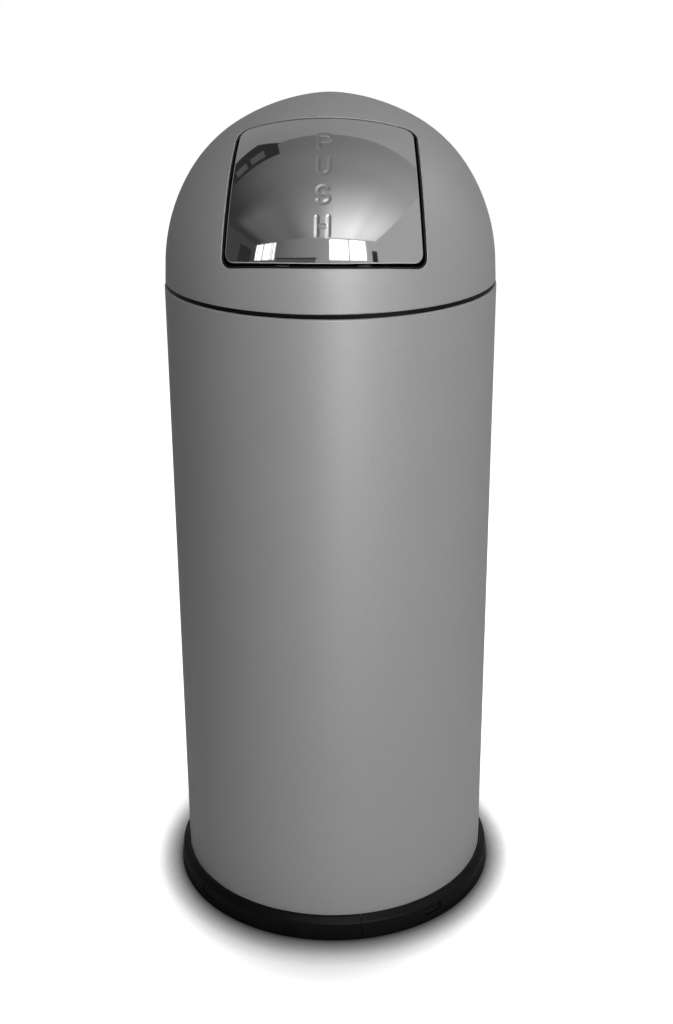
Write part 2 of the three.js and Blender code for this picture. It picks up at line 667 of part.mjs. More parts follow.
function hingeBracket(side) {
  const underside = DOME_SHEET + FIT;
  const start = OPENING_TOP + BRACKET_FOOT_START;
  const end = start + BRACKET_FOOT_LENGTH;
  const outer = side * (BRACKET_OFFSET + BRACKET_SHEET / 2);
  const inner = side * (BRACKET_OFFSET - BRACKET_SHEET / 2);
  const footEdge = outer - side * BRACKET_FOOT_WIDTH;
  const foot = layer(underside, underside + BRACKET_SHEET).intersect(
    faceBlock(Math.min(outer, footEdge), Math.max(outer, footEdge), start, end));
  const high = hingeN + 2 * HINGE_DEPTH;
  const corner = EYE_RADIUS * Math.SQRT1_2;
  const leg = sidePrism([
    point(hingeS - corner, hingeN - corner), point(hingeS + corner, hingeN - corner),
    point(end, hingeN), point(end, high), point(start, high),
    point(start, hingeN + EYE_RADIUS), point(hingeS - corner, hingeN + corner),
  ], inner, outer, faceToDome).intersect(underDome(underside + BRACKET_SHEET / 2, 0));
  const span = [Math.min(inner, outer), Math.max(inner, outer)];
  let bracket = foot.add(leg).add(bar(EYE_RADIUS, ...span, hingeLine));
  bracket = bracket.subtract(bar(ROD_RADIUS + FIT, span[0] - 1, span[1] + 1, hingeLine));
  bracketStuds(side).forEach(([x, s]) => { bracket = bracket.subtract(studHole(x, s)); });
  return bracket;
}

function domeFittings() {
  const sides = [['left', -1], ['right', 1]];
  const underFoot = DOME_SHEET + 2 * FIT + BRACKET_SHEET;
  const capStart = BRACKET_OFFSET + BRACKET_SHEET / 2 + FIT;
  return sides.flatMap(([word, side]) => {
    const capSpan = side > 0 ? capStart : -capStart - CAP_LENGTH;
    const bore = side > 0 ? 0 : CAP_WALL;
    const boreRadius = ROD_RADIUS + FIT;
    const cap = bar(boreRadius + CAP_WALL, capSpan, capSpan + CAP_LENGTH, hingeLine)
      .subtract(bar(boreRadius, capSpan + bore - (side > 0 ? 1 : 0),
        capSpan + CAP_LENGTH - (side > 0 ? CAP_WALL : -1), hingeLine));
    return [
      named(`hinge_bracket_${word}`, hingeBracket(side), materials.zincSheet),
      named(`rod_cap_${word}`, cap, materials.blackPlastic),
      named(`hinge_spring_${word}`, hingeSpring(side), materials.springSteel),
      ...bracketStuds(side).map(([x, s], k) =>
        named(`bracket_nut_${word}_${k + 1}`, nut(x, s, underFoot), materials.zincWire)),
    ];
  });
}

function hingeRod() {
  const reach = BRACKET_OFFSET + BRACKET_SHEET / 2 + CAP_LENGTH - CAP_WALL;
  return named('hinge_rod', bar(ROD_RADIUS, -reach, reach, hingeLine), materials.zincWire);
}

// A torsion spring between the flap's arm and the bracket. One leg bears under the bracket's
// foot, the other under the flap's frame.
function hingeSpring(side) {
  const coil = ROD_RADIUS + SPRING_CLEARANCE + SPRING_WIRE / 2;
  const length = SPRING_TURNS * SPRING_PITCH;
  const middle = (ARM_OFFSET + BRACKET_OFFSET) / 2;
  const turns = 2 * Math.PI * SPRING_TURNS;
  const tangent = SPRING_LEG / coil;
  const total = turns + 2 * tangent;
  const route = (t) => {
    const walked = t * total - tangent;
    const angle = THREE.MathUtils.clamp(walked, 0, turns);
    const spare = (walked - angle) * coil;
    const along = middle - length / 2 + (length * angle) / turns;
    const y = coil * Math.cos(angle) - spare * Math.sin(angle);
    const z = coil * Math.sin(angle) + spare * Math.cos(angle);
    return vector(side * along, y, z);
  };
  const spring = swept(new THREE.Shape(roundSection(SPRING_WIRE / 2, 6)), route, 44);
  const move = new THREE.Matrix4().makeTranslation(...hingePlace);
  return spring.transform(move.elements);
}

// ---------------------------------------------------------------- flap

// Strokes of the letters in a cell one unit wide and one unit high, as [x, y] way points.
const arcStroke = (x, y, rx, ry, from, to, steps = 6) =>
  Array.from({ length: steps + 1 }, (_, k) => {
    const angle = radians(from + ((to - from) * k) / steps);
    return [x + rx * Math.cos(angle), y + ry * Math.sin(angle)];
  });
const letters = [
  [[[0, 0], [0, 1], ...arcStroke(0.55, 0.74, 0.45, 0.26, 90, -90), [0, 0.48]]],
  [[[0, 1], ...arcStroke(0.5, 0.38, 0.5, 0.38, 180, 360), [1, 1]]],
  [[...arcStroke(0.5, 0.75, 0.46, 0.25, 30, 270), ...arcStroke(0.5, 0.25, 0.5, 0.25, 90, -150)]],
  [[[0, 0], [0, 1]], [[1, 0], [1, 1]], [[0, 0.5], [1, 0.5]]],
];

// The strokes as bars with round ends, joined along each way.
function letterPrism(strokes, top) {
  const half = LETTER_STROKE / 2;
  const width = LETTER_WIDTH - LETTER_STROKE;
  const height = LETTER_HEIGHT - LETTER_STROKE;
  const spot = ([x, y]) => point((x - 0.5) * width, top - LETTER_HEIGHT + half + y * height);
  const pieces = strokes.flatMap((stroke) => stroke.slice(1).map((to, k) => {
    const [a, b] = [spot(stroke[k]), spot(to)];
    const along = b.clone().sub(a).angle();
    const cap = (centre, from) => Array.from({ length: 4 }, (_, i) =>
      point(half, 0).rotateAround(point(0, 0), along + from + (Math.PI * i) / 3).add(centre));
    return facePrism([...cap(b, -Math.PI / 2), ...cap(a, Math.PI / 2)]);
  }));
  return wasm.Manifold.union(pieces);
}

function flapPanel() {
  const outline = faceOutline(FLAP_SIDE_GAP, FLAP_TOP_GAP, FLAP_BOTTOM_GAP);
  const within = faceOutline(FLAP_SIDE_GAP + FLAP_SHEET, FLAP_TOP_GAP - 2 * OPENING_CORNER,
    FLAP_BOTTOM_GAP + FLAP_SHEET);
  const under = FLAP_SET_IN + FLAP_SHEET;
  const edge = layer(under - FLAP_SHEET / 2, FLAP_EDGE).subtract(facePrism(within))
    .subtract(aboveCorners(FLAP_EDGE));
  let panel = layer(FLAP_SET_IN, under).add(edge).intersect(facePrism(outline));
  const pressed = layer(0, FLAP_SET_IN + LETTER_DEPTH);
  letters.forEach((strokes, k) => {
    const grooves = pressed.intersect(letterPrism(strokes, LETTER_TOP - k * LETTER_PITCH));
    panel = panel.subtract(grooves);
  });
  frameStuds.forEach(([x, s]) => { panel = panel.add(stud(x, s, under - FLAP_SHEET / 2)); });
  return named('flap_panel', onHinge(panel), materials.mirrorSteel);
}

const frameDepth = FLAP_SET_IN + FLAP_SHEET + FIT;
// Depth, under the dome's surface, of the stop lugs' outward face.
const lugDepth = TRIM_SET_IN + TRIM_DEPTH + BUMPER_THICKNESS + 3 * FIT;

// A pressed frame behind the flap: a top plate, two straps, the hinge arms and the stop lugs.
function flapFrame() {
  const topS = hingeS - FRAME_TOP_DROP;
  const corner = EYE_RADIUS * Math.SQRT1_2;
  let sheet = faceBlock(-FRAME_TOP_WIDTH / 2, FRAME_TOP_WIDTH / 2, topS - FRAME_TOP_HEIGHT, topS);
  [-1, 1].forEach((side) => {
    const x = side * STRAP_OFFSET;
    sheet = sheet.add(faceBlock(x - STRAP_WIDTH / 2, x + STRAP_WIDTH / 2, strapEnd, topS));
  });
  let frame = layer(frameDepth, frameDepth + FRAME_SHEET).intersect(sheet);
  const below = underDome(frameDepth + FRAME_SHEET / 2, 0);
  [-1, 1].forEach((side) => {
    const x = side * ARM_OFFSET - ARM_SHEET / 2;
    const span = [x, x + ARM_SHEET];
    const arm = sidePrism([
      point(hingeS - EYE_RADIUS, hingeN), point(hingeS + corner, hingeN - corner),
      point(hingeS + corner, hingeN + corner),
      point(topS, hingeN + 2 * HINGE_DEPTH), point(topS - FRAME_TOP_HEIGHT, hingeN + HINGE_DEPTH),
      point(topS - FRAME_TOP_HEIGHT, hingeN),
    ], ...span, faceToDome).intersect(below);
    frame = frame.add(arm).add(bar(EYE_RADIUS, ...span, hingeLine));
    const hole = ROD_RADIUS + BUSH_WALL + 2 * FIT;
    frame = frame.subtract(bar(hole, span[0] - 1, span[1] + 1, hingeLine));
    frame = frame.add(stopLug(side));
  });
  frameStuds.forEach(([x, s]) => { frame = frame.subtract(studHole(x, s)); });
  return named('flap_frame', onHinge(frame), materials.zincSheet);
}

// The point (s, n) of the face at a depth square under the dome's surface at (x, s).
function underFace(x, s, depth) {
  const { n, normal } = surfaceBehind(x, s);
  const across = normal.dot(onFace(0, 1, 0));
  const along = normal.dot(onFace(0, 0, 1));
  const scale = depth / Math.hypot(across, along);
  return point(s - across * scale, n - along * scale);
}

// The s from which a point at the lugs' depth comes to lie behind the opening's lower edge.
function lugRoot(x) {
  const edge = OPENING_BOTTOM + OPENING_SAG * (x / (OPENING_BOTTOM_WIDTH / 2)) ** 2;
  return edge - (underFace(x, edge, lugDepth).x - edge);
}

function stopLug(side) {
  const x = side * STRAP_OFFSET;
  const tip = lugRoot(x) - LUG_REACH;
  const root = FLAP_SET_IN;
  const back = lugDepth + FRAME_SHEET;
  const near = strapEnd + FRAME_SHEET;
  const outline = [
    [strapEnd + LUG_LENGTH, root], [strapEnd + LUG_LENGTH / 2, back], [tip, back],
    [tip, lugDepth], [near, lugDepth], [near, root],
  ].map(([s, depth]) => underFace(x, s, depth));
  return sidePrism(outline, x - LUG_WIDTH / 2, x + LUG_WIDTH / 2, faceToDome)
    .intersect(underDome(frameDepth + FRAME_SHEET / 2, -GROOVE));
}

// A rubber button on the lug, which meets the trim when the flap is shut.
function bumper(side) {
  const x = side * STRAP_OFFSET;
  const { place, normal } = surfaceBehind(x, lugRoot(x));
  const frame = standing(place.addScaledVector(normal, -lugDepth), normal);
  return bar(BUMPER_RADIUS, FIT, FIT + BUMPER_THICKNESS, frame, 12);
}

// A flanged nylon bush in the hinge arm's eye.
function bush(side) {
  const bore = ROD_RADIUS + FIT;
  const outer = bore + BUSH_WALL;
  const half = ARM_SHEET / 2;
  const near = half + FIT;
  const profile = [
    [bore, -half], [outer, -half], [outer, near], [outer + BUSH_WALL, near],
    [outer + BUSH_WALL, near + BUSH_FLANGE], [bore, near + BUSH_FLANGE],
  ];
  const turn = new THREE.Matrix4().makeTranslation(0, 0, side * ARM_OFFSET);
  if (side > 0) turn.multiply(new THREE.Matrix4().makeRotationX(Math.PI));
  return turnedAt(profile, hingeLine.clone().multiply(turn));
}

// A piece of the flap, moved so that the hinge axis is its origin.
function onHinge(manifold) {
  return manifold.transform(new THREE.Matrix4().makeTranslation(...hingePlace).invert().elements);
}

function flap() {
  const group = new THREE.Group();
  group.position.copy(hingePlace);
  const underFrame = frameDepth + FRAME_SHEET + 2 * FIT;
  group.add(flapPanel(), flapFrame());
  frameStuds.forEach(([x, s], k) => {
    const name = `flap_nut_${k < 2 ? 'left' : 'right'}_${(k % 2) + 1}`;
    group.add(named(name, onHinge(nut(x, s, underFrame)), materials.zincWire));
  });
  [['left', -1], ['right', 1]].forEach(([word, side]) => {
    group.add(named(`hinge_bush_${word}`, onHinge(bush(side)), materials.nylon));
    group.add(named(`flap_bumper_${word}`, onHinge(bumper(side)), materials.blackRubber));
  });
  return group;
}

// ---------------------------------------------------------------- liner

const earFace = (linerTopRadius - LINER_SHEET) * Math.cos(Math.PI / LINER_FACETS);
const earSpread = EAR_WIDTH / 2;
const linerLean = LINER_TAPER / (LINER_TOP - linerFloor);
const earInner = Math.sqrt(earFace ** 2 - earSpread ** 2) - linerLean * EAR_DROP - FIT - EAR_SHEET;
const earRivets = [-1, 1].map((half) => (half * EAR_RIVET_SPACING) / 2);

// A rivet or its hole along X through an ear and the liner's wall.
function earLine(side, y) {
  const place = vector(side * earInner, y, bailHeight - EAR_RIVET_DROP);
  return standing(place, vector(side, 0, 0));
}

const earRivetHole = (side, y) =>
  bar(RIVET_RADIUS + FIT, -EAR_SHEET, 8 * EAR_SHEET, earLine(side, y), 8);

function linerWall() {
  const beadHeight = LINER_TOP - LINER_BEAD;
  const wall = turned([
    [linerFootRadius, linerFloor], [linerTopRadius, beadHeight],
    [linerTopRadius - LINER_SHEET, beadHeight], [linerFootRadius - LINER_SHEET, linerFloor],
  ], LINER_FACETS);
  const bead = turned(roundSection(LINER_BEAD, 8).map(({ x, y }) =>
    [linerTopRadius + LINER_BEAD - LINER_SHEET + x, beadHeight + y]), LINER_FACETS);
  let liner = wall.add(bead);
  [-1, 1].forEach((side) => earRivets.forEach((y) => {
    liner = liner.subtract(earRivetHole(side, y));
  }));
  return named('liner_wall', liner, materials.zincSheet);
}

function linerBase() {
  const rim = linerFootRadius - LINER_SHEET - FIT;
  const level = linerFloor + LINER_FOOT;
  const base = turned([
    [0, level - LINER_SHEET], [rim - LINER_SHEET, level - LINER_SHEET],
    [rim - LINER_SHEET, linerFloor], [rim, linerFloor], [rim, level], [0, level],
  ], LINER_FACETS);
  return named('liner_base', base, materials.zincSheet);
}

function ear(word, side) {
  const outline = new THREE.Shape();
  const half = EAR_WIDTH / 2;
  outline.moveTo(-half, -EAR_DROP);
  outline.lineTo(half, -EAR_DROP);
  outline.lineTo(half, -EAR_RIVET_DROP / 2);
  outline.absarc(0, 0, EAR_TOP, 0, Math.PI, false);
  outline.lineTo(-half, -EAR_RIVET_DROP / 2);
  const move = new THREE.Matrix4().makeTranslation(0, 0, bailHeight);
  const [x0, x1] = [side * earInner, side * (earInner + EAR_SHEET)];
  let plate = sidePrism(outline, x0, x1, move);
  const pivot = standing(vector(side * earInner, 0, bailHeight), vector(side, 0, 0));
  plate = plate.subtract(bar(BAIL_WIRE + FIT, -EAR_SHEET, 2 * EAR_SHEET, pivot, 12));
  earRivets.forEach((y) => { plate = plate.subtract(earRivetHole(side, y)); });
  return named(`ear_${word}`, plate, materials.zincSheet);
}

function earRivet(word, side, y, index) {
  const wallOut = linerTopRadius - earInner;
  const profile = [
    [0, -FIT - RIVET_HEAD_THICKNESS], [RIVET_HEAD / 2, -FIT - RIVET_HEAD_THICKNESS],
    [RIVET_HEAD, -FIT], [RIVET_RADIUS, -FIT], [RIVET_RADIUS, wallOut],
    [RIVET_HEAD, wallOut], [RIVET_HEAD / 2, wallOut + RIVET_HEAD_THICKNESS],
    [0, wallOut + RIVET_HEAD_THICKNESS],
  ];
  return named(`ear_rivet_${word}_${index + 1}`, turnedAt(profile, earLine(side, y), 8),
    materials.zincWire);
}

// The bail lies back over the rim's rear half, in a group whose origin is on its axis.
function bail() {
  const group = new THREE.Group();
  group.position.z = bailHeight;
  const arc = (from, to) => (t) => {
    const angle = radians(THREE.MathUtils.lerp(from, to, t));
    return vector(bailRadius * Math.cos(angle), bailRadius * Math.sin(angle), 0);
  };
  let wire = swept(new THREE.Shape(roundSection(BAIL_WIRE, 8)), arc(0, 180), 28);
  [-1, 1].forEach((side) => {
    const hook = standing(vector(side * bailRadius, 0, 0), vector(-side, 0, 0));
    const length = bailRadius - earInner + BAIL_HOOK;
    wire = wire.add(bar(BAIL_WIRE, -BAIL_WIRE / 2, length, hook, 8));
  });
  const sleeve = new THREE.Shape(roundSection(GRIP_RADIUS, 12));
  sleeve.holes.push(new THREE.Path(roundSection(BAIL_WIRE + FIT, 8)));
  const grip = swept(sleeve, arc(90 - GRIP_SPAN / 2, 90 + GRIP_SPAN / 2), 7);
  group.add(named('bail_wire', wire, materials.zincWire));
  group.add(named('bail_grip', grip, materials.blackPlastic));
  return group;
}

// ---------------------------------------------------------------- assembly

function base() {
  const group = new THREE.Group();
  group.add(bodyShell(), basePlate(), rimCollar());
  group.add(baseRingHalf('base_ring_left', -1), baseRingHalf('base_ring_right', 1));
  group.add(ringSplice('ring_splice_front', RING_JOINT_AZIMUTH));
  group.add(ringSplice('ring_splice_rear', RING_JOINT_AZIMUTH + 180));
  group.add(...windowAzimuths.map(ringClip), ...rivetAzimuths.map(baseRivet));
  return group;
}

function dome() {
  const group = new THREE.Group();
  group.position.z = domeEdge;
  group.add(domeShell(), openingTrim(), hingeRod(), ...domeFittings(), flap());
  return group;
}

function liner() {
  const group = new THREE.Group();
  group.add(linerWall(), linerBase());
  [['left', -1], ['right', 1]].forEach(([word, side]) => {
    group.add(ear(word, side), ...earRivets.map((y, k) => earRivet(word, side, y, k)));
  });
  group.add(bail());
  return group;
}

const bin = new THREE.Group();
bin.add(base(), dome(), liner());

export default bin;
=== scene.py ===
"""A free-standing waste receptacle with a lift-off dome top, a push flap and a liner.

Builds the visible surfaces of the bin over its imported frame, with their finishes, and a plain
studio around it. Shapes are worked out in millimetres and put into the meshes in metres.
An azimuth is in degrees, counted from the front (-Y) towards +X. The flap's face has axes of its
own: x across, s up the face and n outwards, with their origin in the middle of the dome's edge.
"""

import json
import math

import bmesh
import bpy
import numpy as np
from mathutils import Matrix

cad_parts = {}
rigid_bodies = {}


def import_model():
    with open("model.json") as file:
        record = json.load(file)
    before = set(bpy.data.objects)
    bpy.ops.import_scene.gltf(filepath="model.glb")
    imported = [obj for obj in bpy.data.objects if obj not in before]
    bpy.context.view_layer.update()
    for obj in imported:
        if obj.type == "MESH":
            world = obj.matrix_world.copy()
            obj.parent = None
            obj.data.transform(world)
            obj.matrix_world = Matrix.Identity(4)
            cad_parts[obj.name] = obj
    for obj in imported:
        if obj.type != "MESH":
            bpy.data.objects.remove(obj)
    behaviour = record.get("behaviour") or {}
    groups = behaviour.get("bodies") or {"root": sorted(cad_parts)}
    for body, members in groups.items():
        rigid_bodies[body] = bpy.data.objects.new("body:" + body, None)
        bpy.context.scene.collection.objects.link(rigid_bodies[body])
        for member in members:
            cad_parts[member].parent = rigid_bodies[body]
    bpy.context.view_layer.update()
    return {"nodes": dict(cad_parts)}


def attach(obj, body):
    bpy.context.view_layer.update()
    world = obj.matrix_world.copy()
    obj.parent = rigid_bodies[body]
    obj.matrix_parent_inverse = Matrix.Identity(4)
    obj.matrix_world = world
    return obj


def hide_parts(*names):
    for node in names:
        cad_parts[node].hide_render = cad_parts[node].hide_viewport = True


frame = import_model()

bl_info = {
    "name": "Dome top waste receptacle",
    "version": (1, 0, 0),
    "blender": (4, 5, 0),
    "location": "3D View > Sidebar > Receptacle",
    "description": "Builds a dome top waste receptacle piece by piece, with its finishes",
    "category": "Add Mesh",
}

MM = 0.001

# ---------------------------------------------------------------- sizes of the frame, in mm

FIT = 0.3
BODY_RADIUS = 179.0
BODY_TOP = 720.6
SHEET = 1.0
MOUTH_RADIUS = 175.0
BODY_FOOT = 2.8
GROOVE = 4.7
GROOVE_RECESS = 1.8
COLLAR_WALL = 2.3
COLLAR_REACH = 11.0
DOME_EDGE = BODY_TOP + GROOVE
DOME_RADIUS = 178.0
DOME_SKIRT = 20.2
DOME_DRAFT = 2.8
LOWER_ARC, LOWER_ARC_END = 192.0, 32.4
UPPER_ARC, UPPER_ARC_END = 155.5, 61.2
CROWN_RADIUS, CROWN_START = 112.7, 82.6

FACE_TILT = 38.0
OPENING_TOP = 93.5
OPENING_BOTTOM = -71.5
OPENING_SAG = 13.7
OPENING_TOP_WIDTH = 180.5
OPENING_BOTTOM_WIDTH = 206.5
OPENING_CORNER = 13.0
OPENING_LIP = 8.0
OPENING_ROLL = 1.5
OPENING_MIDDLE = 8.0
TRIM_WALL = 1.6
TRIM_DEPTH = 9.0
TRIM_SET_IN = 0.8

FLAP_SET_IN = 0.5
FLAP_SIDE_GAP = 3.6
FLAP_BOTTOM_GAP = 4.0
FLAP_TOP_GAP = 0.9
FLAP_EDGE = 5.0
FLAP_LEAST_EDGE = 1.5
FLAP_RUN_OUT = 6.0
FLAP_ROLL = 1.3
LETTER_HEIGHT = 20.0
LETTER_WIDTH = 14.6
LETTER_STROKE = 3.4
LETTER_PITCH = 30.7
LETTER_TOP = 68.4

RING_SPREAD = 10.5
SHOULDER_SPREAD = 8.6
SHOULDER_HEIGHT = 20.4
RING_HEIGHT = 27.4
RING_WALL = 2.2
RING_LIP = 1.4
RING_LIP_HEIGHT = 1.9
RING_FLOOR = 2.5
RING_LEDGE = 11.0
RING_JOINT_AZIMUTH = 12.0
RING_JOINT_GAP = 0.5
WINDOW_AZIMUTHS = (40.0, 130.0, 220.0, 310.0)
WINDOW_SPAN = 7.2
WINDOW_SILL = 8.6
WINDOW_HEAD = 20.2
TAB_GAP = 1.0
TAB_SET_IN = 0.8
CLIP_SPAN = 10.5

PLATE_TOP = 15.0
LINER_TOP = 700.0
LINER_TOP_RADIUS = 157.0
LINER_FOOT_RADIUS = 148.0
LINER_BEAD = 3.0
LINER_FLOOR = PLATE_TOP + FIT
LINER_FOOT = 8.0
BAIL_RADIUS = 159.5
BAIL_HEIGHT = 705.3
BAIL_WIRE = 2.5
BAIL_HOOK_END = 142.6
GRIP_RADIUS = 5.0
GRIP_SPAN = 42.0


# ---------------------------------------------------------------- settings


class ReceptacleShape(bpy.types.PropertyGroup):
    """Details of the shapes that the frame leaves open."""

    letter_depth: bpy.props.FloatProperty(
        name="Letter depth", description="How deep the letters are pressed into the flap",
        default=0.00043, min=0.0, max=0.0008, unit="LENGTH")
    letter_shoulder: bpy.props.FloatProperty(
        name="Letter shoulder", description="From a stroke's middle to the end of its slope",
        default=0.0032, min=0.0008, max=0.005, unit="LENGTH")
    flap_ripple: bpy.props.FloatProperty(
        name="Flap ripple", description="Height of the polished sheet's faint waves",
        default=0.000012, min=0.0, max=0.0003, unit="LENGTH")
    rib_height: bpy.props.FloatProperty(
        name="Liner rib", description="How far the liner's pressed ribs stand out",
        default=0.0016, min=0.0, max=0.003, unit="LENGTH")
    facets_around: bpy.props.IntProperty(
        name="Facets around", description="Facets around the body, the ring and the liner",
        default=288, min=48, max=512)


class ReceptacleFinish(bpy.types.PropertyGroup):
    """Colours and glosses of the finishes."""

    coat: bpy.props.FloatVectorProperty(
        name="Coat", description="Colour of the powder coat on body and dome",
        subtype="COLOR", default=(0.262, 0.262, 0.262), min=0.0, max=1.0)
    coat_roughness: bpy.props.FloatProperty(
        name="Coat roughness", description="Roughness of the powder coat",
        subtype="FACTOR", default=0.46, min=0.0, max=1.0)
    mirror: bpy.props.FloatVectorProperty(
        name="Polished steel", description="Colour of the flap's polished steel",
        subtype="COLOR", default=(0.66, 0.66, 0.66), min=0.0, max=1.0)
    mirror_roughness: bpy.props.FloatProperty(
        name="Polish", description="Roughness of the polished steel",
        subtype="FACTOR", default=0.035, min=0.0, max=1.0)
    plastic: bpy.props.FloatVectorProperty(
        name="Plastic", description="Colour of the moulded ring, collar, clips and grip",
        subtype="COLOR", default=(0.0024, 0.0024, 0.0024), min=0.0, max=1.0)
    rubber: bpy.props.FloatVectorProperty(
        name="Rubber", description="Colour of the trim and the bumpers",
        subtype="COLOR", default=(0.008, 0.008, 0.008), min=0.0, max=1.0)
    zinc: bpy.props.FloatVectorProperty(
        name="Zinc", description="Colour of the galvanised sheet",
        subtype="COLOR", default=(0.56, 0.57, 0.58), min=0.0, max=1.0)


class ReceptacleStudio(bpy.types.PropertyGroup):
    """The studio: lamps, the room that the polished flap shows, and the floor."""

    key_power: bpy.props.FloatProperty(
        name="Key", description="Power of the lamp in front, high and a little to the right",
        default=26.8, min=0.0, unit="POWER")
    sheen_power: bpy.props.FloatProperty(
        name="Sheen", description="Power of the tall lamp whose sheen stands on the coat",
        default=58.0, min=0.0, unit="POWER")
    top_power: bpy.props.FloatProperty(
        name="Top", description="Power of the lamp high on the left",
        default=3.2, min=0.0, unit="POWER")
    low_power: bpy.props.FloatProperty(
        name="Low", description="Power of the low lamp in front on the right",
        default=10.0, min=0.0, unit="POWER")
    side_power: bpy.props.FloatProperty(
        name="Side", description="Power of the high lamp on the right",
        default=8.2, min=0.0, unit="POWER")
    back_power: bpy.props.FloatProperty(
        name="Back", description="Power of the soft lamp behind, for views from there",
        default=7.0, min=0.0, unit="POWER")
    rim_power: bpy.props.FloatProperty(
        name="Rims", description="Power of the rear right lamp; the rear left has 0.3 of it",
        default=4.0, min=0.0, unit="POWER")
    ambient: bpy.props.FloatProperty(
        name="Ambient", description="Strength of the even light from all sides",
        default=0.03, min=0.0, max=2.0)
    room: bpy.props.FloatProperty(
        name="Room", description="Brightness of the room that polished steel shows",
        default=1.0, min=0.0, max=4.0)
    window: bpy.props.FloatProperty(
        name="Windows", description="Brightness of the room's windows in the flap",
        default=3.0, min=0.0, max=20.0)


# ---------------------------------------------------------------- grids and meshes


def grid_quads(rows, columns, wrap_rows=False, wrap_columns=False, first=0):
    """Quads between neighbours of a grid whose points are numbered row by row from first.

    Quad (i, j) joins points (i, j), (i, j+1), (i+1, j+1), (i+1, j); a wrapped side joins the
    last row or column to the first.
    """
    i = np.arange(rows if wrap_rows else rows - 1)[:, None]
    j = np.arange(columns if wrap_columns else columns - 1)[None, :]
    i1, j1 = (i + 1) % rows, (j + 1) % columns
    corners = [i * columns + j, i * columns + j1, i1 * columns + j1, i1 * columns + j]
    return np.stack(np.broadcast_arrays(*corners), -1).reshape(-1, 4) + first


def fan(ring, centre, turned=False):
    """Triangles from each edge of a closed ring of point numbers to one centre point."""
    after = np.roll(ring, -1)
    pair = (after, ring) if turned else (ring, after)
    return np.stack([pair[0], pair[1], np.full(len(ring), centre)], -1)


def unit(vectors):
    """Each vector divided by its own length."""
    return vectors / np.maximum(np.linalg.norm(vectors, axis=-1, keepdims=True), 1e-12)


def end_faces(rows, columns, first=0):
    """The flat faces that close a grid whose rows wrap, at its first and last column."""
    foot = first + np.arange(rows)[None, :] * columns
    return [foot, foot[:, ::-1] + columns - 1]


def in_scene(name, data):
    """A new object with its data, linked into the scene."""
    made = bpy.data.objects.new(name, data)
    bpy.context.scene.collection.objects.link(made)
    return made


def new_mesh(name, points, faces, normals=None, sharp=None):
    """A mesh object from points in mm and a list of face arrays, shaded smooth.

    Where sharp is given, edges that bend by more than that many degrees stay hard. Where
    normals are given, one per point, they shade the surface and a zero leaves it to Blender.
    """
    mesh = bpy.data.meshes.new(name)
    starts, corners, count = [], [], 0
    for block in faces:
        starts.append(count + np.arange(len(block)) * block.shape[1])
        corners.append(block.reshape(-1))
        count += block.size
    starts, corners = np.concatenate(starts), np.concatenate(corners)
    mesh.vertices.add(len(points))
    mesh.vertices.foreach_set("co", (np.asarray(points) * MM).astype(np.float32).ravel())
    mesh.loops.add(len(corners))
    mesh.loops.foreach_set("vertex_index", corners.astype(np.int32))
    mesh.polygons.add(len(starts))
    mesh.polygons.foreach_set("loop_start", starts.astype(np.int32))
    mesh.update(calc_edges=True)
    mesh.validate()
    if normals is None:
        shell = bmesh.new()
        shell.from_mesh(mesh)
        bmesh.ops.remove_doubles(shell, verts=shell.verts, dist=1e-7)
        bmesh.ops.recalc_face_normals(shell, faces=shell.faces)
        shell.to_mesh(mesh)
        shell.free()
    elif signed_volume(mesh) < 0:
        mesh.flip_normals()
    mesh.shade_smooth()
    if sharp is not None:
        mesh.set_sharp_from_angle(angle=math.radians(sharp))
    if normals is not None:
        mesh.normals_split_custom_set_from_vertices(normals.astype(np.float32))
    return in_scene(name, mesh)


def signed_volume(mesh):
    """Six times the volume inside a closed mesh: below zero when its faces point inwards."""
    mesh.calc_loop_triangles()
    corners = np.empty(len(mesh.loop_triangles) * 3, np.int32)
    mesh.loop_triangles.foreach_get("vertices", corners)
    points = np.empty(len(mesh.vertices) * 3, np.float32)
    mesh.vertices.foreach_get("co", points)
    a, b, c = points.reshape(-1, 3)[corners.reshape(-1, 3)].transpose(1, 0, 2)
    return float(np.einsum("ij,ij->", a, np.cross(b, c)))


def fitted(piece, slot, body, *nodes):
    """Gives a piece its slot's finish and its body, and lets it stand for its CAD nodes."""
    piece.data.materials.append(finish_named(slot))
    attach(piece, body)
    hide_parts(*nodes)


def soften(piece, width, degrees=50.0):
    """Rounds the piece's hard edges with two facets each."""
    bevel = piece.modifiers.new("edge", "BEVEL")
    bevel.width = width * MM
    bevel.segments = 2
    bevel.limit_method = "ANGLE"
    bevel.angle_limit = math.radians(degrees)
    bevel.harden_normals = False
    return piece


# ---------------------------------------------------------------- outlines and turned shapes


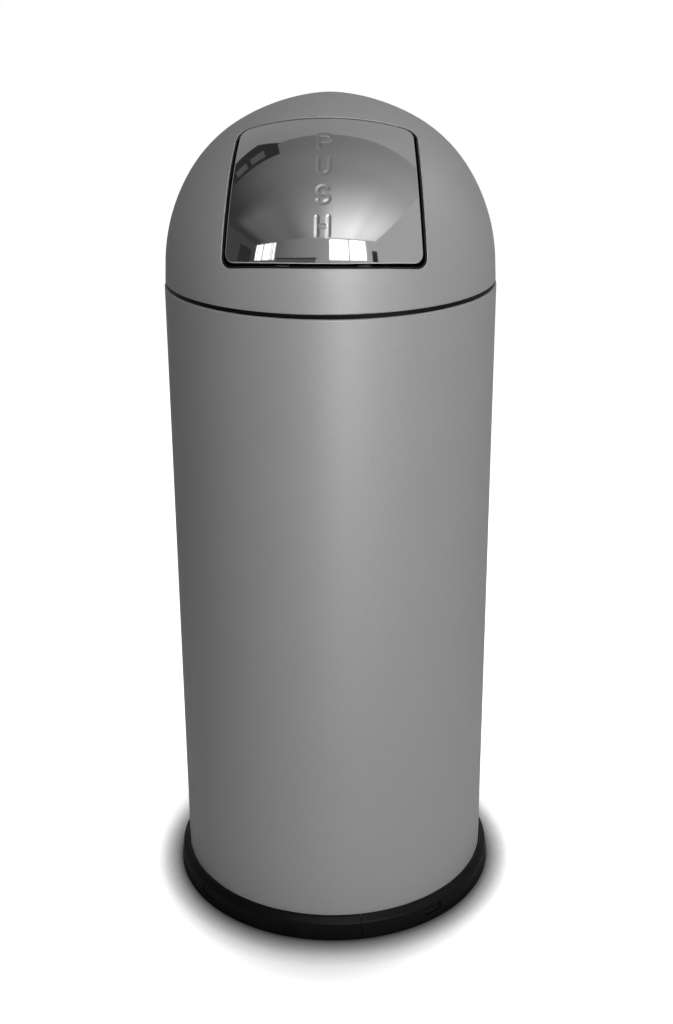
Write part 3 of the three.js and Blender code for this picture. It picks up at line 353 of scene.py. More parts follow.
def eased(corners, radius, steps=4):
    """A closed outline whose corners are arcs, with support points on the sides beside them.

    An arc touches both sides at radius / tan(half the corner's angle) from the corner, cut to
    0.42 of the shorter side, and its points turn evenly from one touch point to the other.
    """
    at = np.asarray(corners, float)
    to_before, to_after = np.roll(at, 1, 0) - at, np.roll(at, -1, 0) - at
    shorter = np.minimum(*(np.linalg.norm(v, axis=1) for v in (to_before, to_after)))
    before, after = unit(to_before), unit(to_after)
    half = np.arccos(np.clip((before * after).sum(1), -0.99999, 0.99999)) / 2
    reach = np.minimum(np.broadcast_to(radius, len(at)) / np.tan(half), 0.42 * shorter)
    centre = at + unit(before + after) * (reach / np.cos(half))[:, None]
    start, end = at + before * reach[:, None], at + after * reach[:, None]
    turn = np.pi - 2 * half
    t = np.linspace(0, 1, steps + 1)[None, :, None]
    angle = np.maximum(turn, 1e-3)[:, None, None]
    arc = (np.sin((1 - t) * angle) * (start - centre)[:, None]
           + np.sin(t * angle) * (end - centre)[:, None]) / np.sin(angle) + centre[:, None]
    spare = np.minimum(0.1 * shorter, 0.8)[:, None]
    held = [(start + before * spare)[:, None], arc, (end + after * spare)[:, None]]
    return np.concatenate(held, 1).reshape(-1, 2)


def turned(profile, azimuths):
    """Points of a profile of (radius, height) turned about Z, one row for each profile point.

    The point at azimuth a is (radius sin a, -radius cos a, height).
    """
    profile = np.asarray(profile, float)
    a = np.radians(azimuths)
    radius, height = profile[:, :1], np.broadcast_to(profile[:, 1:], (len(profile), len(a)))
    return np.stack([radius * np.sin(a), -radius * np.cos(a), height], -1)


def full_turn(facets):
    """Azimuths of the facets' edges once around."""
    return np.arange(facets) * 360 / facets


def turned_ring(name, profile, facets, sharp=None):
    """A closed profile turned once around as a closed skin."""
    points = turned(profile, full_turn(facets))
    faces = grid_quads(*points.shape[:2], wrap_rows=True, wrap_columns=True)
    return new_mesh(name, points.reshape(-1, 3), [faces], sharp=sharp)


def capped(name, grid, ends, sharp=None):
    """A grid whose columns wrap, closed by fans from its first and last row to two points."""
    rows, columns = grid.shape[:2]
    first, last = np.arange(columns), (rows - 1) * columns + np.arange(columns)
    faces = [grid_quads(rows, columns, wrap_columns=True),
             fan(first, rows * columns, turned=True), fan(last, rows * columns + 1)]
    return new_mesh(name, np.concatenate([grid.reshape(-1, 3), ends]), faces, sharp=sharp)


def turned_plate(name, profile, facets):
    """A profile that starts and ends on the axis, turned once around and closed by fans."""
    inner = np.asarray(profile, float)[1:-1]
    ends = np.array([[0, 0, profile[0][1]], [0, 0, profile[-1][1]]])
    return capped(name, turned(inner, full_turn(facets)), ends)


def flanged_disc(name, facets, rim, level, foot, r, press):
    """A disc of sheet whose rim turns down to a foot, sunk by press at each of its radii r."""
    low = level - SHEET
    under = np.stack([r, low - press], -1)
    over = np.stack([r, level - press], -1)[::-1]
    edge = eased([(rim - 8, low), (rim - SHEET, low), (rim - SHEET, foot), (rim, foot),
                  (rim, level), (rim - 8, level)], [0.1, 1.0, 0.3, 0.3, 1.6, 0.1])
    return turned_plate(name, np.concatenate([under, edge[7:-7], over]), facets)


def swept_tube(name, path, across, profile, sides):
    """A round skin along a path, closed at both ends.

    The profile gives the skin's (path position from 0 to 1, radius). The frame at each place is
    the part of the across vector that is square to the path, and its cross product with the
    path's direction; the point at angle a is place + radius (frame1 cos a + frame2 sin a).
    """
    profile = np.asarray(profile, float)
    steps = np.linalg.norm(np.diff(path, axis=0), axis=1)
    path = path[np.concatenate([[True], steps > 1e-6])]
    walked = np.concatenate([[0], np.cumsum(steps[steps > 1e-6])])
    walked /= walked[-1]
    ahead = unit(np.gradient(path, walked, axis=0))
    at = lambda values: np.stack([np.interp(profile[:, 0], walked, v) for v in values.T], -1)
    place, ahead = at(path), unit(at(ahead))
    across = np.broadcast_to(across, path.shape)
    side = at(across)
    side = unit(side - ahead * (side * ahead).sum(1, keepdims=True))
    other = np.cross(ahead, side)
    a = (np.arange(sides) * 2 * np.pi / sides)[None, :, None]
    ring = np.cos(a) * side[:, None] + np.sin(a) * other[:, None]
    points = place[:, None] + profile[:, 1:, None] * ring
    return capped(name, points, np.stack([place[0], place[-1]]), sharp=50)


# ---------------------------------------------------------------- dome surface


def dome_curve():
    """The dome's profile from its edge to the apex: radius, height over the edge and tilt.

    A drafted skirt, then three arcs that meet without a corner, then the crown's arc, which
    ends on the axis. Tilt is the elevation of the outward normal.
    """
    draft, lower, upper, crown = np.radians(
        [DOME_DRAFT, LOWER_ARC_END, UPPER_ARC_END, CROWN_START])
    z = np.linspace(0, DOME_SKIRT, 40)
    pieces = [(DOME_RADIUS - z * np.tan(draft), z, np.full(40, draft))]

    def arc(radius, start, end, steps):
        tilt = np.linspace(start, end, steps + 1)[1:]
        r0, z0 = pieces[-1][0][-1], pieces[-1][1][-1]
        pieces.append((r0 + radius * (np.cos(tilt) - np.cos(start)),
                       z0 + radius * (np.sin(tilt) - np.sin(start)), tilt))

    arc(LOWER_ARC, draft, lower, 300)
    arc(UPPER_ARC, lower, upper, 300)
    crown_edge = CROWN_RADIUS * np.cos(crown)
    arc((pieces[-1][0][-1] - crown_edge) / (np.cos(upper) - np.cos(crown)), upper, crown, 300)
    arc(CROWN_RADIUS, crown, np.pi / 2, 200)
    radius, height, tilt = (np.concatenate(part) for part in zip(*pieces))
    radius[-1] = 0
    return radius, height, tilt


CURVE_R, CURVE_Z, CURVE_TILT = dome_curve()
CURVE_DOWN = np.concatenate([[0], np.cumsum(np.hypot(np.diff(CURVE_R), np.diff(CURVE_Z)))])
CURVE_DOWN = CURVE_DOWN[-1] - CURVE_DOWN  # way along the profile from the apex
TILT = np.radians(90 - FACE_TILT)


def on_face(x, s, n):
    """Points of the face's frame in the bin's frame: turned up about X by 90 less the tilt."""
    y = s * np.cos(TILT) - n * np.sin(TILT)
    z = s * np.sin(TILT) + n * np.cos(TILT)
    return np.stack(np.broadcast_arrays(x, y, z + DOME_EDGE), -1)


def behind_face(x, s, depth=0.0):
    """How far out along n the dome's layer at a depth lies behind (x, s), by halving.

    A point is inside where its distance from the axis is less than the layer's radius at its
    height; 44 halvings of 0 to 400 mm leave less than a thousandth of a micron.
    """
    x, s = np.broadcast_arrays(np.asarray(x, float), np.asarray(s, float))
    layer_r = CURVE_R - depth * np.cos(CURVE_TILT)
    layer_z = CURVE_Z - depth * np.sin(CURVE_TILT)
    low, high = np.zeros(x.shape), np.full(x.shape, 400.0)
    for _ in range(44):
        n = (low + high) / 2
        place = on_face(x, s, n)
        z = place[..., 2] - DOME_EDGE
        radius = np.interp(z, layer_z, layer_r)
        inside = (z < layer_z[-1]) & (np.hypot(place[..., 0], place[..., 1]) < radius)
        low, high = np.where(inside, n, low), np.where(inside, high, n)
    return low


def on_dome(x, s, depth=0.0, sink=0.0):
    """Points on the dome's layer at a depth behind (x, s), then sunk by a way along n."""
    return on_face(x, s, behind_face(x, s, depth) - sink)


def dome_normal(points):
    """The dome's outward normal nearest to points on or near it, from their height."""
    z = points[..., 2] - DOME_EDGE
    tilt = np.interp(z, CURVE_Z, CURVE_TILT)
    out = unit(points[..., :2])
    return np.concatenate([out * np.cos(tilt)[..., None], np.sin(tilt)[..., None]], -1)


# ---------------------------------------------------------------- outlines on the flap's face


def face_half(side, top, bottom, corner, inset=0.0):
    """The right half of the opening's outline, drawn in by distances, from top to bottom.

    Straight top, straight sides that spread downwards, a parabola below. The lower arc's
    centre slides down the side's parallel until it is a corner's radius from the parabola.
    Then the whole outline is drawn in by inset along its own normals.
    """
    top_s, bottom_s = OPENING_TOP - top, OPENING_BOTTOM + bottom
    slope = (OPENING_BOTTOM_WIDTH - OPENING_TOP_WIDTH) / 2 / (OPENING_TOP - OPENING_BOTTOM)
    half = lambda s: OPENING_TOP_WIDTH / 2 - side + slope * (OPENING_TOP - s)
    foot = half(bottom_s + OPENING_SAG)
    lean = math.atan(slope)
    out = np.array([math.cos(lean), math.sin(lean)])
    parallel = lambda s: half(s) - corner / math.cos(lean)
    x = np.linspace(0, foot, 1200)
    edge = np.stack([x, bottom_s + OPENING_SAG * (x / foot) ** 2], -1)
    low, high = bottom_s, top_s
    for _ in range(40):
        s = (low + high) / 2
        gap = np.linalg.norm(edge - [parallel(s), s], axis=1).min()
        above = s > np.interp(parallel(s), edge[:, 0], edge[:, 1])
        low, high = (low, s) if above and gap > corner else (s, high)
    centre = np.array([parallel(low), low])
    touch = edge[np.linalg.norm(edge - centre, axis=1).argmin()]
    above = np.array([parallel(top_s - corner), top_s - corner])

    def arc(middle, start, end, steps=40):
        angle = np.linspace(start, end, steps)
        normal = np.stack([np.cos(angle), np.sin(angle)], -1)
        return middle + corner * normal, normal

    down = touch - centre
    corner_top, normal_top = arc(above, np.pi / 2, lean)
    corner_low, normal_low = arc(centre, lean, math.atan2(down[1], down[0]))
    flat_x = np.linspace(0, above[0], 60)[:-1]
    flat = np.stack([flat_x, np.full(59, top_s)], -1)
    share = np.linspace(0, 1, 60)[1:-1, None]
    side_line = corner_top[-1] * (1 - share) + corner_low[0] * share
    low_x = np.linspace(touch[0], 0, 80)[1:]
    low_edge = np.stack([low_x, bottom_s + OPENING_SAG * (low_x / foot) ** 2], -1)
    fall = unit(np.stack([2 * OPENING_SAG * low_x / foot**2, np.full(79, -1.0)], -1))
    line = np.concatenate([flat, corner_top, side_line, corner_low, low_edge])
    normal = np.concatenate([np.tile([0.0, 1.0], (59, 1)), normal_top, np.tile(out, (58, 1)),
                             normal_low, fall])
    return line - inset * normal, normal


def closed_face(count):
    """The whole outline at even steps of its length, with outward normals, clockwise from top."""
    line, normal = face_half(0, 0, 0, OPENING_CORNER)
    flip = np.array([-1.0, 1.0])
    line = np.concatenate([line, (line * flip)[::-1][1:]])
    normal = np.concatenate([normal, (normal * flip)[::-1][1:]])
    walked = np.concatenate([[0], np.cumsum(np.linalg.norm(np.diff(line, axis=0), axis=1))])
    t = np.arange(count) * walked[-1] / count
    at = lambda values: np.stack([np.interp(t, walked, v) for v in values.T], -1)
    return at(line), unit(at(normal))


def blend_rows(start, end, shares):
    """Rows of points between two rows, at each share of the way."""
    shares = np.asarray(shares)[:, None, None]
    return start[None] * (1 - shares) + end[None] * shares


# ---------------------------------------------------------------- shader expressions


def operator(operation, swapped=False):
    """A Wire's operator that adds a Math node; swapped puts the wire on the second socket."""

    def work(self, other):
        pair = (other, self) if swapped else (self, other)
        return self.sheet.node("ShaderNodeMath", {"operation": operation},
                               dict(enumerate(pair)))

    return work


class Wire:
    """A node's output socket. Python's operators on it add the Math nodes that work them out."""

    __add__, __radd__ = operator("ADD"), operator("ADD", swapped=True)
    __sub__ = operator("SUBTRACT")
    __mul__, __rmul__ = operator("MULTIPLY"), operator("MULTIPLY", swapped=True)
    __pow__ = operator("POWER")

    def __init__(self, sheet, socket):
        self.sheet = sheet
        self.socket = socket

    def eased(self, low, high, start=0.0, end=1.0):
        """Rises without a corner from start to end as the value goes from low to high."""
        return self.sheet.node(
            "ShaderNodeMapRange", {"interpolation_type": "SMOOTHSTEP"},
            {"Value": self, "From Min": low, "From Max": high, "To Min": start, "To Max": end})

    def part(self, axis):
        """One coordinate of a vector."""
        return self.sheet.node("ShaderNodeSeparateXYZ", {}, {0: self}, axis)


class Finish:
    """One material's node sheet, with a Principled surface at its end."""

    def __init__(self, name, **surface):
        self.material = bpy.data.materials.new(f"{name}_finish")
        self.material.use_nodes = True
        self.tree = self.material.node_tree
        self.tree.nodes.clear()
        self.end = self.tree.nodes.new("ShaderNodeOutputMaterial")
        self.surface = self.tree.nodes.new("ShaderNodeBsdfPrincipled")
        self.tree.links.new(self.surface.outputs[0], self.end.inputs["Surface"])
        self.surface_of(**surface)

    def give(self, node, values):
        """Puts values on a node's sockets, or links wires to them."""
        for name, value in values.items():
            socket = node.inputs[name]
            if isinstance(value, Wire):
                self.tree.links.new(value.socket, socket)
            else:
                socket.default_value = value

    def node(self, kind, settings=None, values=None, output=0):
        """Adds a node with its settings and its sockets' values, and gives one of its outputs."""
        made = self.tree.nodes.new(kind)
        for name, value in (settings or {}).items():
            setattr(made, name, value)
        self.give(made, values or {})
        return Wire(self, made.outputs[output])

    def place(self):
        """Where the point lies on the piece, in metres."""
        return self.node("ShaderNodeTexCoord", output="Object")

    def noise(self, where, size, detail=2.0, rough=0.5):
        """Cloudy noise with lumps of a size in mm, around 0.5."""
        return self.node("ShaderNodeTexNoise", {},
                         {"Vector": where, "Scale": 1 / (size * MM), "Detail": detail,
                          "Roughness": rough})

    def cells(self, where, size, output):
        """A cell pattern, its cells about a size in mm wide."""
        return self.node("ShaderNodeTexVoronoi", {"feature": "F1"},
                         {"Vector": where, "Scale": 1 / (size * MM)}, output)

    def stretched(self, where, x, y, z):
        """Coordinates scaled along each axis, for marks that run one way."""
        return self.node("ShaderNodeVectorMath", {"operation": "MULTIPLY"},
                         {0: where, 1: (x, y, z)})

    def tint(self, colour, factor):
        """A colour made lighter or darker by a factor that varies over the surface."""
        spread = self.node("ShaderNodeCombineXYZ", {}, {0: factor, 1: factor, 2: factor})
        return self.node("ShaderNodeVectorMath", {"operation": "MULTIPLY"},
                         {0: spread, 1: tuple(colour)[:3]})

    def bump(self, height, distance, strength=1.0):
        """A normal tipped by a height that varies from 0 to 1 over a distance in mm."""
        return self.node("ShaderNodeBump", {},
                         {"Height": height, "Distance": distance * MM, "Strength": strength})

    def surface_of(self, **values):
        """Feeds the Principled surface and gives the material; an underscore is a space."""
        self.give(self.surface, {name.replace("_", " "): v for name, v in values.items()})
        return self.material


# ---------------------------------------------------------------- finishes


def coated_steel(finish):
    """Satin powder coat: fine orange peel, grain a little under a millimetre, faint clouds."""
    sheet = Finish("coated_steel", IOR=1.45)
    where = sheet.place()
    grain = sheet.noise(where, 1.4, 3.0, 0.7)
    peel = sheet.noise(where, 3.4, 2.0)
    cloud = sheet.noise(where, 90.0, 3.0)
    fleck = sheet.cells(where, 26, "Distance").eased(0.010, 0.026, 0.72, 1.0)
    shade = (0.80 + grain * 0.36 + (cloud - 0.5) * 0.05) * fleck
    rough = finish.coat_roughness - 0.06 + grain * 0.08 + cloud * 0.05
    return sheet.surface_of(
        Base_Color=sheet.tint(finish.coat, shade), Roughness=rough, Metallic=0.0,
        Normal=sheet.bump(peel * 0.75 + grain * 0.25, 0.05, 0.5))


def mirror_steel(finish):
    """Polished stainless sheet: nearly clear, with faint wipe marks and polishing lines."""
    sheet = Finish("mirror_steel", Metallic=1.0)
    where = sheet.place()
    smear = sheet.noise(where, 34.0, 4.0, 0.6).eased(0.45, 0.75)
    lines = sheet.noise(sheet.stretched(where, 0.05, 1.0, 1.0), 0.35, 2.0)
    dust = sheet.noise(where, 1.6, 2.0, 0.7).eased(0.68, 0.78)
    rough = finish.mirror_roughness + smear * 0.02 + lines * 0.015 + dust * 0.05
    shade = 0.985 + lines * 0.03 - smear * 0.02 - dust * 0.04
    return sheet.surface_of(Base_Color=sheet.tint(finish.mirror, shade), Roughness=rough)


def black_plastic(finish):
    """Moulded plastic with a fine eroded grain and rubbed, slightly paler patches."""
    sheet = Finish("black_plastic", IOR=1.49, Specular_IOR_Level=0.1)
    where = sheet.place()
    grain = sheet.noise(where, 0.7, 3.0, 0.7)
    rub = sheet.noise(where, 22.0, 4.0, 0.6).eased(0.4, 0.8)
    flow = sheet.noise(sheet.stretched(where, 1.0, 1.0, 0.3), 60.0, 2.0)
    shade = 0.75 + grain * 0.3 + rub * 0.5 + flow * 0.2
    return sheet.surface_of(
        Base_Color=sheet.tint(finish.plastic, shade), Roughness=0.36 + grain * 0.14 + rub * 0.08,
        Normal=sheet.bump(grain, 0.06, 0.55))


def black_rubber(finish):
    """Matt extruded rubber with die lines along it and a dry bloom in places."""
    sheet = Finish("black_rubber", IOR=1.5, Specular_IOR_Level=0.12)
    where = sheet.place()
    grain = sheet.noise(where, 0.5, 2.0, 0.6)
    bloom = sheet.noise(where, 14.0, 4.0, 0.6).eased(0.5, 0.8)
    shade = 0.8 + grain * 0.25 + bloom * 0.7
    return sheet.surface_of(
        Base_Color=sheet.tint(finish.rubber, shade), Roughness=0.62 + grain * 0.12 + bloom * 0.1,
        Normal=sheet.bump(grain, 0.05, 0.5))


def zinc_sheet(finish):
    """Galvanised sheet: crystals about a centimetre wide, each with its own shade and gloss."""
    sheet = Finish("zinc_sheet", Metallic=0.85)
    where = sheet.place()
    warp = sheet.noise(where, 9.0, 3.0)
    bent = sheet.node("ShaderNodeVectorMath", {"operation": "ADD"},
                      {0: where, 1: sheet.tint((0.004, 0.004, 0.004), warp)})
    crystal = sheet.cells(bent, 13, "Color").part(0)
    small = sheet.cells(bent, 4.5, "Color").part(1)
    frost = sheet.noise(where, 1.2, 3.0, 0.7)
    stain = sheet.noise(where, 120.0, 4.0, 0.6)
    shade = 0.72 + crystal * 0.3 + small * 0.12 + frost * 0.06 + (stain - 0.5) * 0.16
    rough = 0.26 + small * 0.16 + crystal * 0.1 + frost * 0.06
    return sheet.surface_of(
        Base_Color=sheet.tint(finish.zinc, shade), Roughness=rough,
        Normal=sheet.bump(crystal * 0.5 + frost * 0.5, 0.03, 0.5))


def drawn_metal(name, colour, rough, run=(1.0, 1.0, 0.06)):
    """Bright drawn wire or turned steel: fine lines that run one way, and dull spots."""
    sheet = Finish(name, Metallic=1.0)
    where = sheet.place()
    lines = sheet.noise(sheet.stretched(where, *run), 0.4, 3.0, 0.6)
    dull = sheet.noise(where, 6.0, 4.0, 0.6).eased(0.5, 0.75)
    shade = 0.86 + lines * 0.2 - dull * 0.12
    return sheet.surface_of(
        Base_Color=sheet.tint(colour, shade), Roughness=rough + lines * 0.1 + dull * 0.15,
        Normal=sheet.bump(lines, 0.02, 0.4))


def nylon():
    """Unfilled nylon: ivory, a little waxy, with faint flow clouds."""
    sheet = Finish("nylon", IOR=1.53, Subsurface_Weight=0.2)
    where = sheet.place()
    cloud = sheet.noise(where, 3.0, 3.0)
    fine = sheet.noise(where, 0.4, 2.0)
    return sheet.surface_of(
        Base_Color=sheet.tint((0.78, 0.75, 0.66), 0.92 + cloud * 0.1),
        Roughness=0.38 + fine * 0.12, Normal=sheet.bump(fine, 0.02, 0.4))


def finish_named(slot):
    """The finish for one of the record's slots, made on first use."""
    name = f"{slot}_finish"
    if name not in bpy.data.materials:
        finish = bpy.context.scene.receptacle_finish
        makers = {
            "coated_steel": lambda: coated_steel(finish),
            "mirror_steel": lambda: mirror_steel(finish),
            "black_plastic": lambda: black_plastic(finish),
            "black_rubber": lambda: black_rubber(finish),
            "zinc_sheet": lambda: zinc_sheet(finish),
            "zinc_wire": lambda: drawn_metal("zinc_wire", (0.62, 0.63, 0.64), 0.22),
            "spring_steel": lambda: drawn_metal("spring_steel", (0.42, 0.42, 0.43), 0.26),
            "nylon": nylon,
        }
        makers[slot]()
    return bpy.data.materials[name]


# ---------------------------------------------------------------- body, collar and base ring


def body_skin(facets):
    """The body's sheet: a straight wall whose top edge turns in, as one closed profile."""
    inner, edge = BODY_RADIUS - SHEET, BODY_TOP - SHEET
    corners = [(BODY_RADIUS, BODY_FOOT), (BODY_RADIUS, BODY_TOP), (MOUTH_RADIUS, BODY_TOP),
               (MOUTH_RADIUS, edge), (inner, edge), (inner, BODY_FOOT)]
    profile = eased(corners, [0.3, 1.3, 0.4, 0.4, 0.4, 0.3])
    return turned_ring("body", profile, facets)


def collar_skin(facets):
    """The collar between body and dome: two spigots and the fin that shows in the joint."""
    spigot, fin = MOUTH_RADIUS - FIT, BODY_RADIUS - GROOVE_RECESS
    inner = spigot - COLLAR_WALL
    low, high = BODY_TOP + FIT, DOME_EDGE - FIT
    corners = [(inner, BODY_TOP - COLLAR_REACH), (spigot, BODY_TOP - COLLAR_REACH),
               (spigot, low), (fin, low), (fin, high), (spigot, high),
               (spigot, DOME_EDGE + COLLAR_REACH), (inner, DOME_EDGE + COLLAR_REACH)]
    return turned_ring("collar", eased(corners, [0.6, 0.8, 0.2, 0.5, 0.5, 0.2, 0.8, 0.6]),
                       facets)


def ring_outer(z):
    """Radius of the base ring's outer face at a height, from the foot to the shoulder."""
    return BODY_RADIUS + RING_SPREAD + (SHOULDER_SPREAD - RING_SPREAD) * z / SHOULDER_HEIGHT


def ring_corners():
    """The base ring's section, and which corners are the window's sill and head."""
    inner, bevel = BODY_RADIUS + FIT, RING_WALL / 2
    lip_foot = RING_HEIGHT - RING_LIP_HEIGHT
    back = lambda z: ring_outer(z) - RING_WALL
    return [
        (BODY_RADIUS - RING_LEDGE, 0.0), (ring_outer(0) - bevel / 2, 0.0),
        (ring_outer(bevel), bevel), (ring_outer(SHOULDER_HEIGHT), SHOULDER_HEIGHT - bevel / 2),
        (ring_outer(SHOULDER_HEIGHT) - bevel, SHOULDER_HEIGHT + bevel),
        (inner + RING_LIP * 4 / 3, lip_foot), (inner + RING_LIP, RING_HEIGHT),
        (inner, RING_HEIGHT), (inner, lip_foot - RING_WALL / 2),
        (back(SHOULDER_HEIGHT), SHOULDER_HEIGHT - RING_WALL / 3),
        (back(RING_FLOOR), RING_FLOOR), (BODY_RADIUS - RING_LEDGE, RING_FLOOR),
    ]


def with_heights(profile, heights, outer):
    """A closed profile with added points where one of its walls crosses each height.

    The outer wall is the one that climbs, the inner one the one that falls.
    """
    after = np.roll(profile, -1, 0)
    climbs = after[:, 1] - profile[:, 1]
    wall = (climbs > 4) if outer else (climbs < -4)
    k = int(np.flatnonzero(wall)[0])
    a, b = profile[k], after[k]
    order = sorted(heights, reverse=not outer)
    added = [a + (b - a) * (h - a[1]) / (b[1] - a[1]) for h in order]
    return np.insert(profile, k + 1, added, axis=0), k + 1


def base_ring_skin(name, side, facets):
    """Half of the base ring: its section carried around half a turn, with two windows.

    The window's cells are left out of the outer and the inner wall, and four strips join the
    two holes' edges. Both ends are closed by a flat face.
    """
    profile = eased(ring_corners(), [0.5, 0.5, 0.6, 0.5, 0.5, 0.5, 0.4, 0.3, 0.3, 0.4, 0.4, 0.5])
    profile, out_k = with_heights(profile, (WINDOW_SILL, WINDOW_HEAD), True)
    profile, in_k = with_heights(profile, (WINDOW_SILL, WINDOW_HEAD), False)
    gap = math.degrees(RING_JOINT_GAP / 2 / ring_outer(0))
    start, end = RING_JOINT_AZIMUTH + gap, RING_JOINT_AZIMUTH + 180 - gap
    if side < 0:
        start, end = start + 180, end + 180
    windows = [a for turn in (0, 360) for a in (w + turn for w in WINDOW_AZIMUTHS)
               if start < a < end]
    edges = np.array([w + h * WINDOW_SPAN / 2 for w in windows for h in (-1, 1)])
    azimuths = np.linspace(start, end, facets // 2)
    azimuths = azimuths[np.abs(azimuths[:, None] - edges).min(1) > 0.2]
    azimuths = np.sort(np.concatenate([azimuths, edges]))
    points = turned(profile, azimuths)
    rows, columns = points.shape[:2]
    quads = grid_quads(rows, columns, wrap_rows=True)
    row, column = quads[:, 0] // columns, quads[:, 0] % columns
    hole = np.zeros(len(quads), bool)
    strips = []
    for w in windows:
        sides = np.array([w - WINDOW_SPAN / 2, w + WINDOW_SPAN / 2])
        c0, c1 = np.searchsorted(azimuths, sides - 1e-6)
        within = (column >= c0) & (column < c1)
        hole |= within & ((row == out_k) | (row == in_k))
        along = np.arange(c0, c1)
        for outer_row, inner_row in ((out_k, in_k + 1), (out_k + 1, in_k)):
            o, i = outer_row * columns + along, inner_row * columns + along
            strips.append(np.stack([o, o + 1, i + 1, i], -1))
        for c in (c0, c1):
            strips.append(np.array([[out_k * columns + c, (out_k + 1) * columns + c,
                                     in_k * columns + c, (in_k + 1) * columns + c]]))
    faces = [quads[~hole], *strips, *end_faces(rows, columns)]
    return soften(new_mesh(name, points.reshape(-1, 3), faces, sharp=42), 0.25)


def ring_clip_skin(name, azimuth):
    """A locking clip: a block behind the ring whose tab fills the window, with a thumb groove."""
    back = ring_outer(SHOULDER_HEIGHT) - RING_WALL - 2 * FIT
    inner = BODY_RADIUS + FIT
    foot, top = BODY_FOOT, SHOULDER_HEIGHT - RING_WALL / 3 - FIT
    block = eased([(inner, foot), (back, foot), (back, top), (inner, top)], 0.5)
    low, high = WINDOW_SILL + TAB_GAP, WINDOW_HEAD - TAB_GAP
    front = lambda z: ring_outer(z) - TAB_SET_IN
    middle = (low + high) / 2
    tab = eased([(back - 1, low), (front(low), low), (front(middle - 2), middle - 2),
                 (front(middle) - 1.0, middle), (front(middle + 2), middle + 2),
                 (front(high), high), (back - 1, high)], 0.5)
    gap = math.degrees(TAB_GAP / ring_outer(0))
    points, faces, first = [], [], 0
    for profile, span, steps in ((block, CLIP_SPAN, 14), (tab, WINDOW_SPAN - 2 * gap, 12)):
        azimuths = azimuth + np.linspace(-span / 2, span / 2, steps)
        part = turned(profile, azimuths)
        rows, columns = part.shape[:2]
        faces += [grid_quads(rows, columns, wrap_rows=True, first=first),
                  *end_faces(rows, columns, first)]
        points.append(part.reshape(-1, 3))
        first += rows * columns
    return soften(new_mesh(name, np.concatenate(points), faces, sharp=42), 0.3)


def base_plate_skin(facets):
    """The base plate: a flanged disc with two shallow rings pressed into it."""
    rim = BODY_RADIUS - SHEET - FIT
    r = np.linspace(0, rim - 6, 120)
    press = sum(0.55 * np.exp(-((r - at) / 3.2) ** 2) for at in (60.0, 128.0))
    return flanged_disc("base_plate_sheet", facets, rim, PLATE_TOP, BODY_FOOT, r, press)


# ---------------------------------------------------------------- dome and its opening


